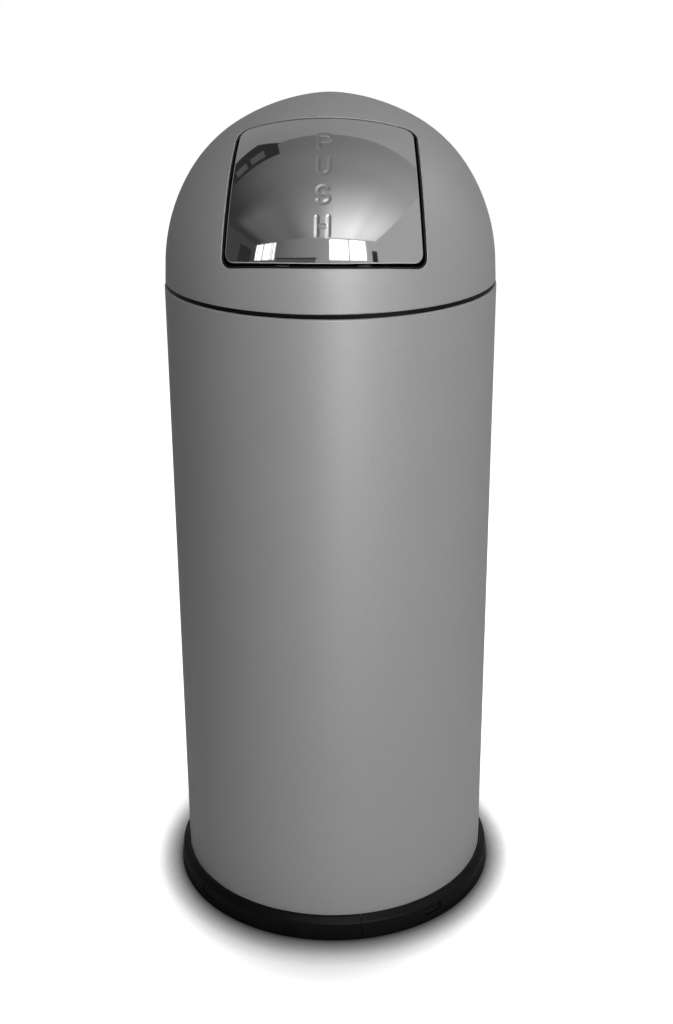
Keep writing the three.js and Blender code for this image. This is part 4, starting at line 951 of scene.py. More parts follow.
def dome_skin():
    """The dome's pressed sheet with its opening, as one closed skin with even shading.

    Each column starts at a point of the opening's outline. From there it runs straight to the
    dome's edge in a chart whose polar radius is the way along the profile from the apex and
    whose angle is the azimuth, along the ray from the opening's middle. The rows go over the
    sheet's outside, around the edge's flange, back over its inside and around the turned-in
    lip: a roll that leaves the surface at its own radius outside the outline and sinks along n.
    """
    columns, rows = 440, 84
    line, normal = closed_face(columns)
    at = lambda e: (line + e * normal).T
    first = on_dome(*at(OPENING_ROLL))
    down = lambda z: np.interp(z, CURVE_Z, CURVE_DOWN)
    azimuth = np.arctan2(first[:, 0], -first[:, 1])
    way = down(first[:, 2] - DOME_EDGE)
    chart = np.stack([way * np.sin(azimuth), -way * np.cos(azimuth)], -1)
    middle = on_dome(np.zeros(1), np.full(1, OPENING_MIDDLE))[0]
    centre = np.array([0.0, -down(middle[2] - DOME_EDGE)])
    ray = unit(chart - centre)
    edge_round = 0.9
    last = down(edge_round)
    along = (ray * centre).sum(1)
    reach = -along + np.sqrt(along**2 + last**2 - (centre**2).sum())
    rim = centre + ray * reach[:, None]
    shares = np.linspace(0, 1, rows) ** 1.25
    spread = blend_rows(chart, rim, shares)
    way = np.hypot(spread[..., 0], spread[..., 1])
    out = np.stack([spread[..., 0], spread[..., 1]], -1) / np.maximum(way, 1e-9)[..., None]
    rising = lambda values: np.interp(way, CURVE_DOWN[::-1], values[::-1])
    radius, height, tilt = rising(CURVE_R), rising(CURVE_Z), rising(CURVE_TILT)
    normals = np.concatenate([out * np.cos(tilt)[..., None], np.sin(tilt)[..., None]], -1)
    outside = np.concatenate([out * radius[..., None], (height + DOME_EDGE)[..., None]], -1)
    inside = outside - SHEET * normals

    seat = eased([(DOME_RADIUS, 2.5), (DOME_RADIUS, 0.0), (MOUTH_RADIUS, 0.0),
                  (MOUTH_RADIUS, SHEET), (DOME_RADIUS - SHEET, SHEET), (DOME_RADIUS - SHEET, 2.5)],
                 [0.1, edge_round, 0.35, 0.35, 0.3, 0.1])[7:-7]
    way_out = out[-1][None]
    seat_r, seat_z = seat[:, :1], np.broadcast_to(seat[:, 1:], (len(seat), columns))
    seat_rows = np.concatenate([way_out * seat_r[..., None],
                                (seat_z + DOME_EDGE)[..., None]], -1)

    turn = np.linspace(0, np.pi / 2, 7)
    small = OPENING_ROLL - SHEET
    inner_roll = [on_dome(*at(OPENING_ROLL - small * np.sin(a)), SHEET, small * (1 - np.cos(a)))
                  for a in turn]
    flange = OPENING_LIP - 0.5
    lip = [on_dome(*at(SHEET), 0.0, d) for d in (4.0, flange - 0.5, flange)]
    lip += [on_dome(*at(0.85), 0.0, OPENING_LIP), on_dome(*at(0.15), 0.0, OPENING_LIP)]
    lip += [on_dome(*at(0), 0.0, d) for d in (flange, flange - 0.5, 4.0, 2.2)]
    outer_roll = [on_dome(*at(OPENING_ROLL * (1 - np.sin(a))), 0.0, OPENING_ROLL * (1 - np.cos(a)))
                  for a in turn[:0:-1]]
    skin = np.concatenate([outside, seat_rows, inside[::-1], np.stack(inner_roll[1:] + lip
                                                                     + outer_roll)])
    shade = np.zeros_like(skin)
    shade[:rows] = normals
    inside_rows = slice(rows + len(seat), 2 * rows + len(seat))
    shade[inside_rows] = -normals[::-1]
    faces = grid_quads(len(skin), columns, wrap_rows=True, wrap_columns=True)
    return new_mesh("dome", skin.reshape(-1, 3), [faces], normals=shade.reshape(-1, 3))


def edging_and_gap_shade_skin():
    """The rubber edging in the opening: a rounded black strip along the sides and the bottom,
    which also stands in for the shade in the gap around the flap.

    Its section's points are (way in from the outline, depth under the dome). Each is drawn in
    along the outline's normal and sunk along the dome's normal, below the top corners.
    """
    low, high = TRIM_SET_IN, TRIM_SET_IN + TRIM_DEPTH
    section = eased([(FIT, low), (FIT + TRIM_WALL, low), (FIT + TRIM_WALL, high), (FIT, high)],
                    [0.5, 0.7, 0.4, 0.4])
    line, normal = closed_face(520)
    keep = line[:, 1] < OPENING_TOP - OPENING_CORNER
    points = np.stack([on_dome(*(line[keep] - inset * normal[keep]).T, depth)
                       for inset, depth in section])
    rows, columns = points.shape[:2]
    faces = [grid_quads(rows, columns, wrap_rows=True), *end_faces(rows, columns)]
    return new_mesh("opening_edging", points.reshape(-1, 3), faces, sharp=60)


# ---------------------------------------------------------------- flap


def stroke_arc(x, y, rx, ry, start, end, steps=14):
    """Way points of an elliptic arc in a letter's cell."""
    angle = np.radians(np.linspace(start, end, steps + 1))
    return np.stack([x + rx * np.cos(angle), y + ry * np.sin(angle)], -1).tolist()


LETTERS = (
    ([[0, 0], [0, 1], *stroke_arc(0.55, 0.74, 0.45, 0.26, 90, -90), [0, 0.48]],),
    ([[0, 1], *stroke_arc(0.5, 0.38, 0.5, 0.38, 180, 360), [1, 1]],),
    ([*stroke_arc(0.5, 0.75, 0.46, 0.25, 30, 270), *stroke_arc(0.5, 0.25, 0.5, 0.25, 90, -150)],),
    ([[0, 0], [0, 1]], [[1, 0], [1, 1]], [[0, 0.5], [1, 0.5]]),
)


def letter_lines():
    """All the letters' strokes as straight pieces (start, end) on the face, in mm."""
    width, height = LETTER_WIDTH - LETTER_STROKE, LETTER_HEIGHT - LETTER_STROKE
    starts, ends = [], []
    for k, strokes in enumerate(LETTERS):
        foot = LETTER_TOP - LETTER_HEIGHT - k * LETTER_PITCH + LETTER_STROKE / 2
        for way in strokes:
            spots = (np.array(way, float) - [0.5, 0]) * [width, height] + [0, foot]
            starts.append(spots[:-1])
            ends.append(spots[1:])
    return np.concatenate(starts), np.concatenate(ends)


def letter_sink(x, s, depth, shoulder):
    """Depth of the pressed letters: a raised cosine of the distance to the nearest stroke.

    depth (1 + cos(pi distance / shoulder)) / 2 within the shoulder, and 0 beyond it.
    """
    start, end = letter_lines()
    sink = np.zeros(x.shape)
    near = np.abs(x) < LETTER_WIDTH / 2 + shoulder
    spot = np.stack([x[near], s[near]], -1)
    best = np.full(len(spot), np.inf)
    for a, b in zip(start, end):
        run = b - a
        t = np.clip(((spot - a) @ run) / (run @ run), 0, 1)
        best = np.minimum(best, np.linalg.norm(spot - a - t[:, None] * run, axis=1))
    sink[near] = depth * (1 + np.cos(np.pi * np.clip(best / shoulder, 0, 1))) / 2
    return sink


def ripple(x, s, height):
    """Faint waves of a hand-polished sheet: three crossing sines of unlike lengths."""
    return height * (np.sin(x / 9.1 + s / 31) + np.sin(s / 12.7 - x / 23 + 1) * 0.8
                     + np.sin((x + s) / 7.3 + 2) * 0.35)


def flap_plan(columns, rows, inset):
    """(x, s) over the flap's outline drawn in by an inset, as a blend of its four edges.

    The edges meet in the middles of the corner arcs. The top and bottom edges are read at
    shares of their width, the sides at shares of their height, and the sum of the blend across
    and the blend up, less the blend of the four corners, fills the middle.
    """
    line, normal = face_half(FLAP_SIDE_GAP, FLAP_TOP_GAP, FLAP_BOTTOM_GAP,
                             OPENING_CORNER - FLAP_SIDE_GAP / 2, inset)
    angle = np.arctan2(normal[:, 1], normal[:, 0])
    top = int(np.argmin(np.abs(angle - np.pi / 4)))
    low = int(np.argmin(np.abs(angle + np.pi / 4)))
    upper, side, under = line[:top + 1], line[top:low + 1], line[low:]
    top_x, low_x = upper[-1, 0], under[0, 0]
    u = columns[None, :]
    v = rows[:, None]
    top_s = np.interp(np.abs(columns) * top_x, upper[:, 0], upper[:, 1])[None]
    low_s = np.interp(np.abs(columns) * low_x, under[::-1, 0], under[::-1, 1])[None]
    side_s = under[0, 1] + (upper[-1, 1] - under[0, 1]) * v
    side_x = np.interp(side_s, side[::-1, 1], side[::-1, 0])
    corner_x = low_x + (top_x - low_x) * v
    x = u * (low_x * (1 - v) + top_x * v) + u * (side_x - corner_x)
    s = low_s * (1 - v) + top_s * v + 0 * u
    return x, s + (side_s - (under[0, 1] * (1 - v) + upper[-1, 1] * v))


def flap_point(x, s, shape):
    """The flap's outer surface: the dome's layer at the set-in, with letters and waves."""
    place = on_dome(x, s, FLAP_SET_IN)
    lift = ripple(x, s, shape.flap_ripple / MM) - letter_sink(
        x, s, shape.letter_depth / MM, shape.letter_shoulder / MM)
    return place + lift[..., None] * dome_normal(place)


def flap_skin(shape):
    """The polished flap: a fine grid outside, a rolled edge with a flange, a plain inside.

    Normals outside are the cross product of the surface's differences over a tenth of a
    millimetre across and up the face. The edge rolls like the dome's opening, and the flange
    runs out below the top corners. The inside shrinks the edge's ring towards a point.
    """
    fine = np.linspace(-0.105, 0.105, 49)
    wide = 0.105 + (0.88 - 0.105) * np.linspace(0, 1, 27)[1:]
    last = 0.88 + 0.12 * np.sin(np.linspace(0, np.pi / 2, 9)[1:])
    columns = np.concatenate([-last[::-1], -wide[::-1], fine, wide, last])
    rows = np.concatenate([
        0.07 * (1 - np.cos(np.linspace(0, np.pi / 2, 9)))[:-1], np.linspace(0.07, 0.21, 10)[:-1],
        np.linspace(0.21, 0.895, 280)[:-1], np.linspace(0.895, 0.95, 5)[:-1],
        1 - 0.05 * (1 - np.sin(np.linspace(0, np.pi / 2, 7)))])
    x, s = flap_plan(columns, rows, FLAP_ROLL)
    outer = flap_point(x, s, shape)
    step = 0.1
    across = flap_point(x + step, s, shape) - flap_point(x - step, s, shape)
    up = flap_point(x, s + step, shape) - flap_point(x, s - step, shape)
    shade = unit(np.cross(across, up))
    shade *= np.sign((shade * dome_normal(outer)).sum(-1, keepdims=True))

    n_rows, n_columns = x.shape
    number = np.arange(x.size).reshape(x.shape)
    loop = np.concatenate([number[0, :-1], number[:-1, -1], number[-1, :0:-1], number[:0:-1, 0]])

    def ring(inset, depth, sink):
        ring_x, ring_s = flap_plan(columns, rows, inset)
        ring_x, ring_s = ring_x.ravel()[loop], ring_s.ravel()[loop]
        return on_dome(ring_x, ring_s, depth, sink), ring_s

    turn = np.linspace(0, np.pi / 2, 7)[1:]
    rings = [ring(FLAP_ROLL * (1 - np.sin(a)), FLAP_SET_IN, FLAP_ROLL * (1 - np.cos(a)))[0]
             for a in turn]
    low_s = ring(0, FLAP_SET_IN, 0)[1]
    run_out = OPENING_TOP - OPENING_CORNER - FLAP_EDGE
    share = np.clip((low_s - run_out + FLAP_RUN_OUT) / FLAP_RUN_OUT, 0, 1)
    full = FLAP_EDGE - FLAP_SET_IN
    flange = full + (FLAP_LEAST_EDGE - full) * share**2 * (3 - 2 * share)
    for inset, drop in ((0, -0.5), (0, -0.25), (0.2, 0), (SHEET - 0.2, 0), (SHEET, -0.25)):
        rings.append(ring(inset, FLAP_SET_IN, flange + drop)[0])
    edge_x, edge_s = flap_plan(columns, rows, SHEET + 0.3)
    edge_x, edge_s = edge_x.ravel()[loop], edge_s.ravel()[loop]
    for share in 1 - np.linspace(0, 1, 22)[:-1]:
        in_x, in_s = edge_x * share, OPENING_MIDDLE + (edge_s - OPENING_MIDDLE) * share
        rings.append(on_dome(in_x, in_s, FLAP_SET_IN + SHEET))
    middle = on_dome(np.zeros(1), np.full(1, OPENING_MIDDLE), FLAP_SET_IN + SHEET)
    points = np.concatenate([outer.reshape(-1, 3), np.concatenate(rings), middle])
    count = len(loop)
    first = x.size + np.arange(count)
    bridge = np.stack([loop, np.roll(loop, -1), np.roll(first, -1), first], -1)
    last_ring = x.size + (len(rings) - 1) * count + np.arange(count)
    faces = [grid_quads(n_rows, n_columns), bridge[:, ::-1],
             grid_quads(len(rings), count, wrap_columns=True, first=x.size)[:, ::-1],
             fan(last_ring, len(points) - 1, turned=True)]
    normals = np.zeros_like(points)
    normals[:x.size] = shade.reshape(-1, 3)
    return new_mesh("flap", points, [np.ascontiguousarray(f) for f in faces], normals=normals)


# ---------------------------------------------------------------- liner and bail


def liner_radius(z):
    """Outer radius of the liner's tapered wall at a height."""
    share = (z - LINER_FLOOR) / (LINER_TOP - LINER_BEAD - LINER_FLOOR)
    return LINER_FOOT_RADIUS + (LINER_TOP_RADIUS - LINER_FOOT_RADIUS) * share


def liner_skin(facets, rib):
    """The liner's wall with pressed ribs and a curled rim, as one closed profile.

    A rib is a raised cosine of the height, 7 mm either side of its middle; it moves the
    outside and the inside of the sheet alike.
    """
    z = np.linspace(LINER_FLOOR, LINER_TOP - 1.9 * LINER_BEAD, 420)
    press = sum(rib * (1 + np.cos(np.pi * np.clip((z - at) / 7, -1, 1))) / 2
                for at in (70.0, 330.0, 590.0))
    outside = np.stack([liner_radius(z) + press, z], -1)
    inside = (outside - [SHEET, 0])[::-1]
    middle = LINER_TOP_RADIUS + LINER_BEAD - SHEET, LINER_TOP - LINER_BEAD
    meet = 180 + math.degrees(math.acos((middle[0] - LINER_TOP_RADIUS) / LINER_BEAD)) - 360
    angle = np.radians(np.linspace(meet, 180, 44))
    curl = np.stack([np.cos(angle), np.sin(angle)], -1) * LINER_BEAD + middle
    return turned_ring("liner_sheet", np.concatenate([outside, curl, inside]), facets, sharp=60)


def liner_base_skin(facets):
    """The liner's base: a flanged disc with one shallow ring pressed into it."""
    rim = LINER_FOOT_RADIUS - SHEET - FIT
    r = np.linspace(0, rim - 10, 110)
    press = 1.2 * np.exp(-((r - 105) / 3.5) ** 2)
    return flanged_disc("liner_floor", facets, rim, LINER_FLOOR + LINER_FOOT, LINER_FLOOR, r,
                        press)


def bail_path(bend=7.0):
    """The bail's middle line: hook, bend, half circle behind, bend, hook, at its own height."""
    angle = np.radians(np.linspace(3.2, 176.8, 160))
    arc = np.stack([BAIL_RADIUS * np.cos(angle), BAIL_RADIUS * np.sin(angle)], -1)
    start = np.array([[BAIL_HOOK_END, 0.0], [BAIL_RADIUS - bend, 0.0]])
    turn = np.radians(np.linspace(-90, 0, 12))
    corner = np.stack([BAIL_RADIUS - bend + bend * np.cos(turn), bend + bend * np.sin(turn)], -1)
    right = np.concatenate([blend_rows(start[:1], start[1:], np.linspace(0, 1, 8))[:, 0], corner])
    left = right[::-1] * [-1, 1]
    flat = np.concatenate([right, arc[2:-2], left])
    return np.concatenate([flat, np.full((len(flat), 1), BAIL_HEIGHT)], 1)


def bail_skin():
    """The bail's wire: a round skin along its path, with eased ends."""
    t = np.linspace(0, 1, 260)
    radius = np.full(t.shape, BAIL_WIRE)
    ends = np.array([0.0, 0.0008, 0.0022, 0.004])
    profile = np.concatenate([
        np.stack([ends, BAIL_WIRE * np.array([0.55, 0.82, 0.96, 1])], -1),
        np.stack([t, radius], -1)[2:-2],
        np.stack([1 - ends[::-1], BAIL_WIRE * np.array([1, 0.96, 0.82, 0.55])], -1)])
    return swept_tube("bail", bail_path(), (0, 0, 1), profile, 20)


def grip_skin():
    """The grip: a sleeve on the bail with nine finger ridges, its radius a rectified sine."""
    angle = np.radians(np.linspace(90 - GRIP_SPAN / 2, 90 + GRIP_SPAN / 2, 160))
    path = np.stack([BAIL_RADIUS * np.cos(angle), BAIL_RADIUS * np.sin(angle),
                     np.full(160, BAIL_HEIGHT)], -1)
    t = np.linspace(0.02, 0.98, 180)
    ridge = GRIP_RADIUS - 0.45 + 0.42 * np.abs(np.sin(t * np.pi * 9)) ** 0.6
    profile = np.concatenate([
        [(0, BAIL_WIRE + 0.2), (0, GRIP_RADIUS - 0.7), (0.006, GRIP_RADIUS - 0.1),
         (0.014, GRIP_RADIUS - 0.1)], np.stack([t, ridge], -1),
        [(0.986, GRIP_RADIUS - 0.1), (0.994, GRIP_RADIUS - 0.1), (1, GRIP_RADIUS - 0.7),
         (1, BAIL_WIRE + 0.2)]])
    return swept_tube("grip", path, (0, 0, 1), profile, 28)


# ---------------------------------------------------------------- studio


WHITE = (1, 1, 1, 1)
FLOOR_REACH = 14.0
CARD_GAP = 0.03
AIM_HEIGHT = 0.5
RIM_LEFT_SHARE = 0.3

# The camera fitted to the photograph: mm, metres, unit vectors, and degrees about Z.
CAMERA_LENS, CAMERA_SENSOR = 52.94, 36.0
CAMERA_PLACE = (0, -1.61335, 1.0770)
CAMERA_RIGHT = (0.99997206, -0.00516916, -0.00539911)
CAMERA_DOWN = (-0.00690384, -0.36187327, -0.93220173)
CAMERA_AHEAD = (0.0028649, 0.93221297, -0.36189885)
CAMERA_CARRIED = 2.6


def quad(name, corners, material):
    """A flat four-cornered piece of the stage."""
    mesh = bpy.data.meshes.new(name)
    mesh.from_pydata(corners, [], [(0, 1, 2, 3)])
    mesh.materials.append(material)
    made = in_scene(name, mesh)
    return made


def card(name, corners, material):
    """A card of the room, seen only by glossy rays."""
    made = quad(name, corners, material)
    for ray in ("camera", "diffuse", "transmission", "volume_scatter", "shadow"):
        setattr(made, f"visible_{ray}", False)


def glow(name, strength):
    """A glowing finish for a card; strength may be a number or work on the card's sheet."""
    sheet = Finish(name)
    sheet.tree.nodes.remove(sheet.surface)
    if callable(strength):
        strength = strength(sheet, sheet.place())
    light = sheet.node("ShaderNodeEmission", {}, {"Color": WHITE, "Strength": strength})
    sheet.tree.links.new(light.socket, sheet.end.inputs["Surface"])
    return sheet.material


def ceiling_light(where):
    """The ceiling: darker on the left, with daylight fanning in over the right window.

    The daylight grows towards the window wall, sets in softly on its left and fades to the
    right; a weak second patch lies over the left window.
    """
    x, y = where.part(0), where.part(1)
    even = (x * 0.085 + 0.235).eased(-0.04, 0.46, 0.05, 0.44) * y.eased(-0.5, 0.35, 1.0, 0.82)
    near = y.eased(-0.5, -3.0, 0.0, 0.95)
    across = x.eased(-1.5, -0.1, 0.0, 0.24) + x.eased(-0.3, 0.3, 0.0, 0.62)
    across = (across + x.eased(0.3, 1.0, 0.0, 0.14)) * x.eased(0.95, 1.45, 1.0, 0.72)
    across = across * x.eased(1.5, 3.0, 1.0, 0.4)
    left = y.eased(-0.8, -1.7, 0.0, 0.09) * (x.eased(-3.9, -3.0) * x.eased(-2.2, -0.8, 1.0, 0.0))
    return even + near * across + left


def lamp(name, power, size, azimuth, elevation, distance, receivers, diffuse=True, gloss=True):
    """A rectangular soft lamp at an azimuth and elevation, aimed at the bin's middle."""
    data = bpy.data.lights.new(name, "AREA")
    data.shape = "RECTANGLE"
    data.size, data.size_y = size
    data.energy = power
    a, e = math.radians(azimuth), math.radians(elevation)
    out = np.array([math.sin(a) * math.cos(e), -math.cos(a) * math.cos(e), math.sin(e)])
    made = in_scene(name, data)
    side = np.array([math.cos(a), math.sin(a), 0.0])
    turn = Matrix(np.stack([side, np.cross(out, side), out], 1).tolist()).to_4x4()
    made.matrix_world = Matrix.Translation(np.array([0, 0, AIM_HEIGHT]) + out * distance) @ turn
    made.visible_diffuse = diffuse
    made.visible_glossy = gloss
    made.light_linking.receiver_collection = receivers


def light_group(name, pieces, state):
    """A collection that takes pieces in to a lamp's light, or leaves them out of it."""
    made = bpy.data.collections.new(name)
    for k, piece in enumerate(pieces):
        made.objects.link(bpy.data.objects[piece])
        made.collection_objects[k].light_linking.link_state = state
    return made


def camera():
    """The photograph's camera: its fitted place and turn, carried about Z."""
    data = bpy.data.cameras.new("camera")
    data.sensor_width = CAMERA_SENSOR
    data.lens = CAMERA_LENS
    data.clip_start, data.clip_end = 0.05, 60.0
    made = in_scene("camera", data)
    axes = np.stack([CAMERA_RIGHT, [-v for v in CAMERA_DOWN], [-v for v in CAMERA_AHEAD]], 1)
    carried = Matrix.Rotation(math.radians(CAMERA_CARRIED), 4, "Z")
    place = Matrix.Translation(CAMERA_PLACE)
    made.matrix_world = carried @ place @ Matrix(axes.tolist()).to_4x4()
    bpy.context.scene.camera = made


def floor():
    """A pale matt floor, darker near the foot by a painted contact shadow, and lifted to white
    farther off.
    """
    sheet = Finish("floor", Roughness=0.9, Specular_IOR_Level=0.1)
    near = sheet.node("ShaderNodeAmbientOcclusion", {"samples": 8}, {"Distance": 0.05}, "AO")
    away = sheet.node("ShaderNodeVectorMath", {"operation": "LENGTH"},
                      {0: sheet.stretched(sheet.place(), 1.5, 1.0, 1.0)}, "Value")
    seen = sheet.node("ShaderNodeLightPath", output="Is Camera Ray")
    # painted contact shadow: ambient occlusion to the power 4.7 darkens the floor's colour and its
    # lift to white near the foot
    painted_contact_shadow = near ** 4.7
    # painted shadow around the foot: for camera rays the lift stays at 0.05 out to 0.19 m from the
    # axis, with x counted 1.5 times, and is full at 0.36 m
    lift = away.eased(0.19, 0.36, 0.05, 1.0) * seen * painted_contact_shadow
    lifted = sheet.node("ShaderNodeEmission", {}, {"Color": WHITE, "Strength": lift})
    sheet.surface_of(Base_Color=sheet.tint((0.86, 0.86, 0.86), painted_contact_shadow))
    both = sheet.node("ShaderNodeAddShader", {},
                      {0: Wire(sheet, sheet.surface.outputs[0]), 1: lifted})
    sheet.tree.links.new(both.socket, sheet.end.inputs["Surface"])
    quad("floor", [(x * FLOOR_REACH, y * FLOOR_REACH, 0)
                   for x, y in ((-1, -1), (1, -1), (1, 1), (-1, 1))], sheet.material)


def world(ambient):
    """Even grey light, white where it is looked at."""
    made = bpy.data.worlds.new("studio")
    bpy.context.scene.world = made
    made.use_nodes = True
    tree = made.node_tree
    tree.nodes.clear()
    path = tree.nodes.new("ShaderNodeLightPath")
    mix = tree.nodes.new("ShaderNodeMixShader")
    end = tree.nodes.new("ShaderNodeOutputWorld")
    tree.links.new(path.outputs["Is Camera Ray"], mix.inputs[0])
    for k, strength in enumerate((ambient, 1.0), 1):
        light = tree.nodes.new("ShaderNodeBackground")
        light.inputs["Color"].default_value = WHITE
        light.inputs["Strength"].default_value = strength
        tree.links.new(light.outputs[0], mix.inputs[k])
    tree.links.new(mix.outputs[0], end.inputs[0])


def room(studio):
    """The room that polished steel shows, as glossy-only cards a few metres around the bin.

    A ceiling, four walls, two windows in the wall in front, a door, low cupboards and a dark
    rack with two open bays under the ceiling.
    """
    k = studio.room
    top, left, right, back, front = 2.5, -4.3, 2.45, 0.45, -3.5
    near = front + CARD_GAP
    pane = glow("room_window", k * studio.window)
    blind = glow("room_blind", lambda sheet, where: k * studio.window * (
        sheet.noise(sheet.stretched(where, 1.0, 0.0, 0.0), 110.0, 0.0).eased(0.42, 0.55, 0.22)))

    def graded(name, *span):
        return glow(name, lambda sheet, where: k * where.part(0).eased(*span))

    def upright(name, x0, x1, z0, z1, y, material):
        card(name, [(x0, y, z0), (x1, y, z0), (x1, y, z1), (x0, y, z1)], material)

    def level(name, x0, x1, y0, y1, z, material):
        card(name, [(x0, y0, z), (x1, y0, z), (x1, y1, z), (x0, y1, z)], material)

    level("room_top", left, right, front, back, top,
          glow("room_top", lambda sheet, where: k * ceiling_light(where)))
    upright("room_front", left, right, 0, top, front,
            graded("room_front", -4.2, 2.4, 0.07, 0.52))
    upright("room_back", left, right, 0, top, back, graded("room_back", -1.0, 1.0, 0.28, 0.42))
    side = graded("room_side", -4, 2.3, 0.07, 0.5)
    for name, x in (("room_left", left), ("room_right", right)):
        card(name, [(x, front, 0), (x, back, 0), (x, back, top), (x, front, top)], side)
    upright("window_a", 0.12, 0.92, 1.58, 2.42, near, pane)
    upright("window_b", 0.99, 1.78, 1.58, 2.42, near, pane)
    upright("window_c", -4.10, -3.42, 1.60, 2.40, near, blind)
    upright("window_d", -3.36, -2.52, 1.60, 2.40, near, blind)
    dark = glow("room_dark", 0.035 * k)
    pale = glow("room_pale", 0.11 * k)
    x = left + CARD_GAP
    card("door", [(x, -3.2, 0), (x, -2.2, 0), (x, -2.2, 2.1), (x, -3.2, 2.1)], dark)
    upright("cupboard", -2.4, -0.45, 0, 1.62, near, pale)
    upright("cupboard_top", -2.45, -0.4, 1.62, 1.68, near, dark)
    upright("box", 2.1, 2.42, 0, 2.0, near, dark)
    level("rack", -2.3, -0.78, 0.08, 0.50, top - CARD_GAP, dark)
    upright("rack_side", -2.3, -0.74, 1.87, top, back - 0.01, dark)
    level("rack_bay_a", -1.42, -1.06, 0.19, 0.42, top - 0.05, pale)
    level("rack_bay_b", -1.98, -1.55, 0.19, 0.42, top - 0.05, pale)


# ---------------------------------------------------------------- operators


class RECEPTACLE_OT_body(bpy.types.Operator):
    """Build the body's sheet and the collar in the joint above it."""

    bl_idname = "receptacle.body"
    bl_label = "Body and collar"

    def execute(self, context):
        facets = context.scene.receptacle_shape.facets_around
        fitted(body_skin(facets), "coated_steel", "body", "body_shell")
        fitted(collar_skin(facets), "black_plastic", "body", "rim_collar")
        return {"FINISHED"}


class RECEPTACLE_OT_base(bpy.types.Operator):
    """Build the base ring's halves, their clips and the base plate."""

    bl_idname = "receptacle.base"
    bl_label = "Base"

    def execute(self, context):
        facets = context.scene.receptacle_shape.facets_around
        for word, side in (("left", -1), ("right", 1)):
            fitted(base_ring_skin(f"ring_{word}", side, facets), "black_plastic", "body",
                   f"base_ring_{word}")
        for k, azimuth in enumerate(WINDOW_AZIMUTHS, 1):
            fitted(ring_clip_skin(f"clip_{k}", azimuth), "black_plastic", "body",
                   f"ring_clip_{k}")
        fitted(base_plate_skin(facets), "zinc_sheet", "body", "base_plate")
        return {"FINISHED"}


class RECEPTACLE_OT_dome(bpy.types.Operator):
    """Build the dome with its opening and the rubber edging in it."""

    bl_idname = "receptacle.dome"
    bl_label = "Dome"

    def execute(self, context):
        fitted(dome_skin(), "coated_steel", "dome", "dome_shell")
        # the edging's black also stands in for the shade in the gap around the flap
        fitted(edging_and_gap_shade_skin(), "black_rubber", "dome", "opening_trim")
        return {"FINISHED"}


class RECEPTACLE_OT_flap(bpy.types.Operator):
    """Build the polished flap with the letters pressed into it."""

    bl_idname = "receptacle.flap"
    bl_label = "Flap"

    def execute(self, context):
        shape = context.scene.receptacle_shape
        fitted(flap_skin(shape), "mirror_steel", "flap", "flap_panel")
        return {"FINISHED"}


class RECEPTACLE_OT_liner(bpy.types.Operator):
    """Build the liner, its base, the bail and the grip."""

    bl_idname = "receptacle.liner"
    bl_label = "Liner"

    def execute(self, context):
        shape = context.scene.receptacle_shape
        fitted(liner_skin(shape.facets_around, shape.rib_height / MM), "zinc_sheet", "liner",
               "liner_wall")
        fitted(liner_base_skin(shape.facets_around), "zinc_sheet", "liner", "liner_base")
        fitted(bail_skin(), "zinc_wire", "bail", "bail_wire")
        fitted(grip_skin(), "black_plastic", "bail", "bail_grip")
        return {"FINISHED"}


class RECEPTACLE_OT_fittings(bpy.types.Operator):
    """Give the CAD nodes that stay their finishes."""

    bl_idname = "receptacle.fittings"
    bl_label = "Fittings"

    def execute(self, context):
        for node in frame["nodes"].values():
            for slot in node.material_slots:
                if not node.hide_render:
                    slot.material = finish_named(slot.material.name)
        return {"FINISHED"}


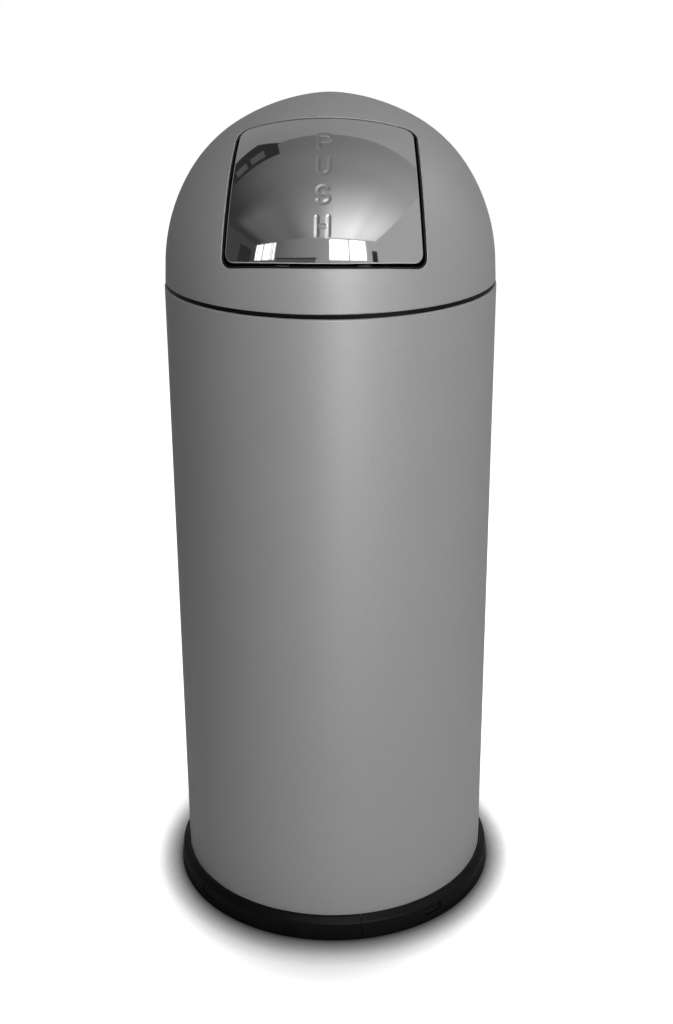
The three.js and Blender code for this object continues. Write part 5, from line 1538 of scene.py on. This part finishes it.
class RECEPTACLE_OT_studio(bpy.types.Operator):
    """Set up the floor, the lamps, the room for reflections and the camera."""

    bl_idname = "receptacle.studio"
    bl_label = "Studio"

    def execute(self, context):
        studio = context.scene.receptacle_studio
        context.scene.view_settings.view_transform = "Standard"
        camera()
        floor()
        world(studio.ambient)
        room(studio)
        all_but_flap = light_group("all_but_flap", ["flap"], "EXCLUDE")
        coat = light_group("coat", ["body", "dome"], "INCLUDE")
        lamp("key", studio.key_power, (1.0, 1.2), 10, 40, 2.1, all_but_flap)
        lamp("sheen", studio.sheen_power, (0.35, 1.5), 11, 7.5, 2.2, coat, False)
        lamp("top", studio.top_power, (1.2, 1.2), -60, 82, 1.9, all_but_flap)
        lamp("low", studio.low_power, (1.0, 1.0), 35, 2, 2.0, all_but_flap)
        lamp("side", studio.side_power, (1.0, 1.2), 105, 40, 2.1, all_but_flap)
        lamp("back", studio.back_power, (1.2, 1.2), 175, 30, 2.1, all_but_flap, gloss=False)
        lamp("rim_right", studio.rim_power, (0.6, 1.6), 140, 12, 2.2, coat, False)
        lamp("rim_left", studio.rim_power * RIM_LEFT_SHARE, (0.6, 1.6), -140, 12, 2.2,
             all_but_flap)
        return {"FINISHED"}


class RECEPTACLE_PT_panel(bpy.types.Panel):
    """Lists the receptacle's settings and its building steps."""

    bl_label = "Receptacle"
    bl_idname = "RECEPTACLE_PT_panel"
    bl_space_type = "VIEW_3D"
    bl_region_type = "UI"
    bl_category = "Receptacle"

    def draw(self, context):
        layout = self.layout
        for group in SETTINGS:
            box = layout.box()
            settings = getattr(context.scene, group)
            for name in settings.bl_rna.properties.keys():
                if name not in ("rna_type", "name"):
                    box.prop(settings, name)
        for step in STEPS:
            layout.operator(step.bl_idname)


SETTINGS = {"receptacle_shape": ReceptacleShape, "receptacle_finish": ReceptacleFinish,
            "receptacle_studio": ReceptacleStudio}
STEPS = (RECEPTACLE_OT_body, RECEPTACLE_OT_base, RECEPTACLE_OT_dome, RECEPTACLE_OT_flap,
         RECEPTACLE_OT_liner, RECEPTACLE_OT_fittings, RECEPTACLE_OT_studio)


def register():
    """Registers the settings, the steps and the panel."""
    for name, group in SETTINGS.items():
        bpy.utils.register_class(group)
        setattr(bpy.types.Scene, name, bpy.props.PointerProperty(type=group))
    for step in (*STEPS, RECEPTACLE_PT_panel):
        bpy.utils.register_class(step)


def unregister():
    """Takes out everything that register put in."""
    for step in reversed((*STEPS, RECEPTACLE_PT_panel)):
        bpy.utils.unregister_class(step)
    for name, group in reversed(SETTINGS.items()):
        delattr(bpy.types.Scene, name)
        bpy.utils.unregister_class(group)


def main():
    register()
    for step in STEPS:
        group, name = step.bl_idname.split(".")
        getattr(getattr(bpy.ops, group), name)()


if __name__ == "__main__":
    main()
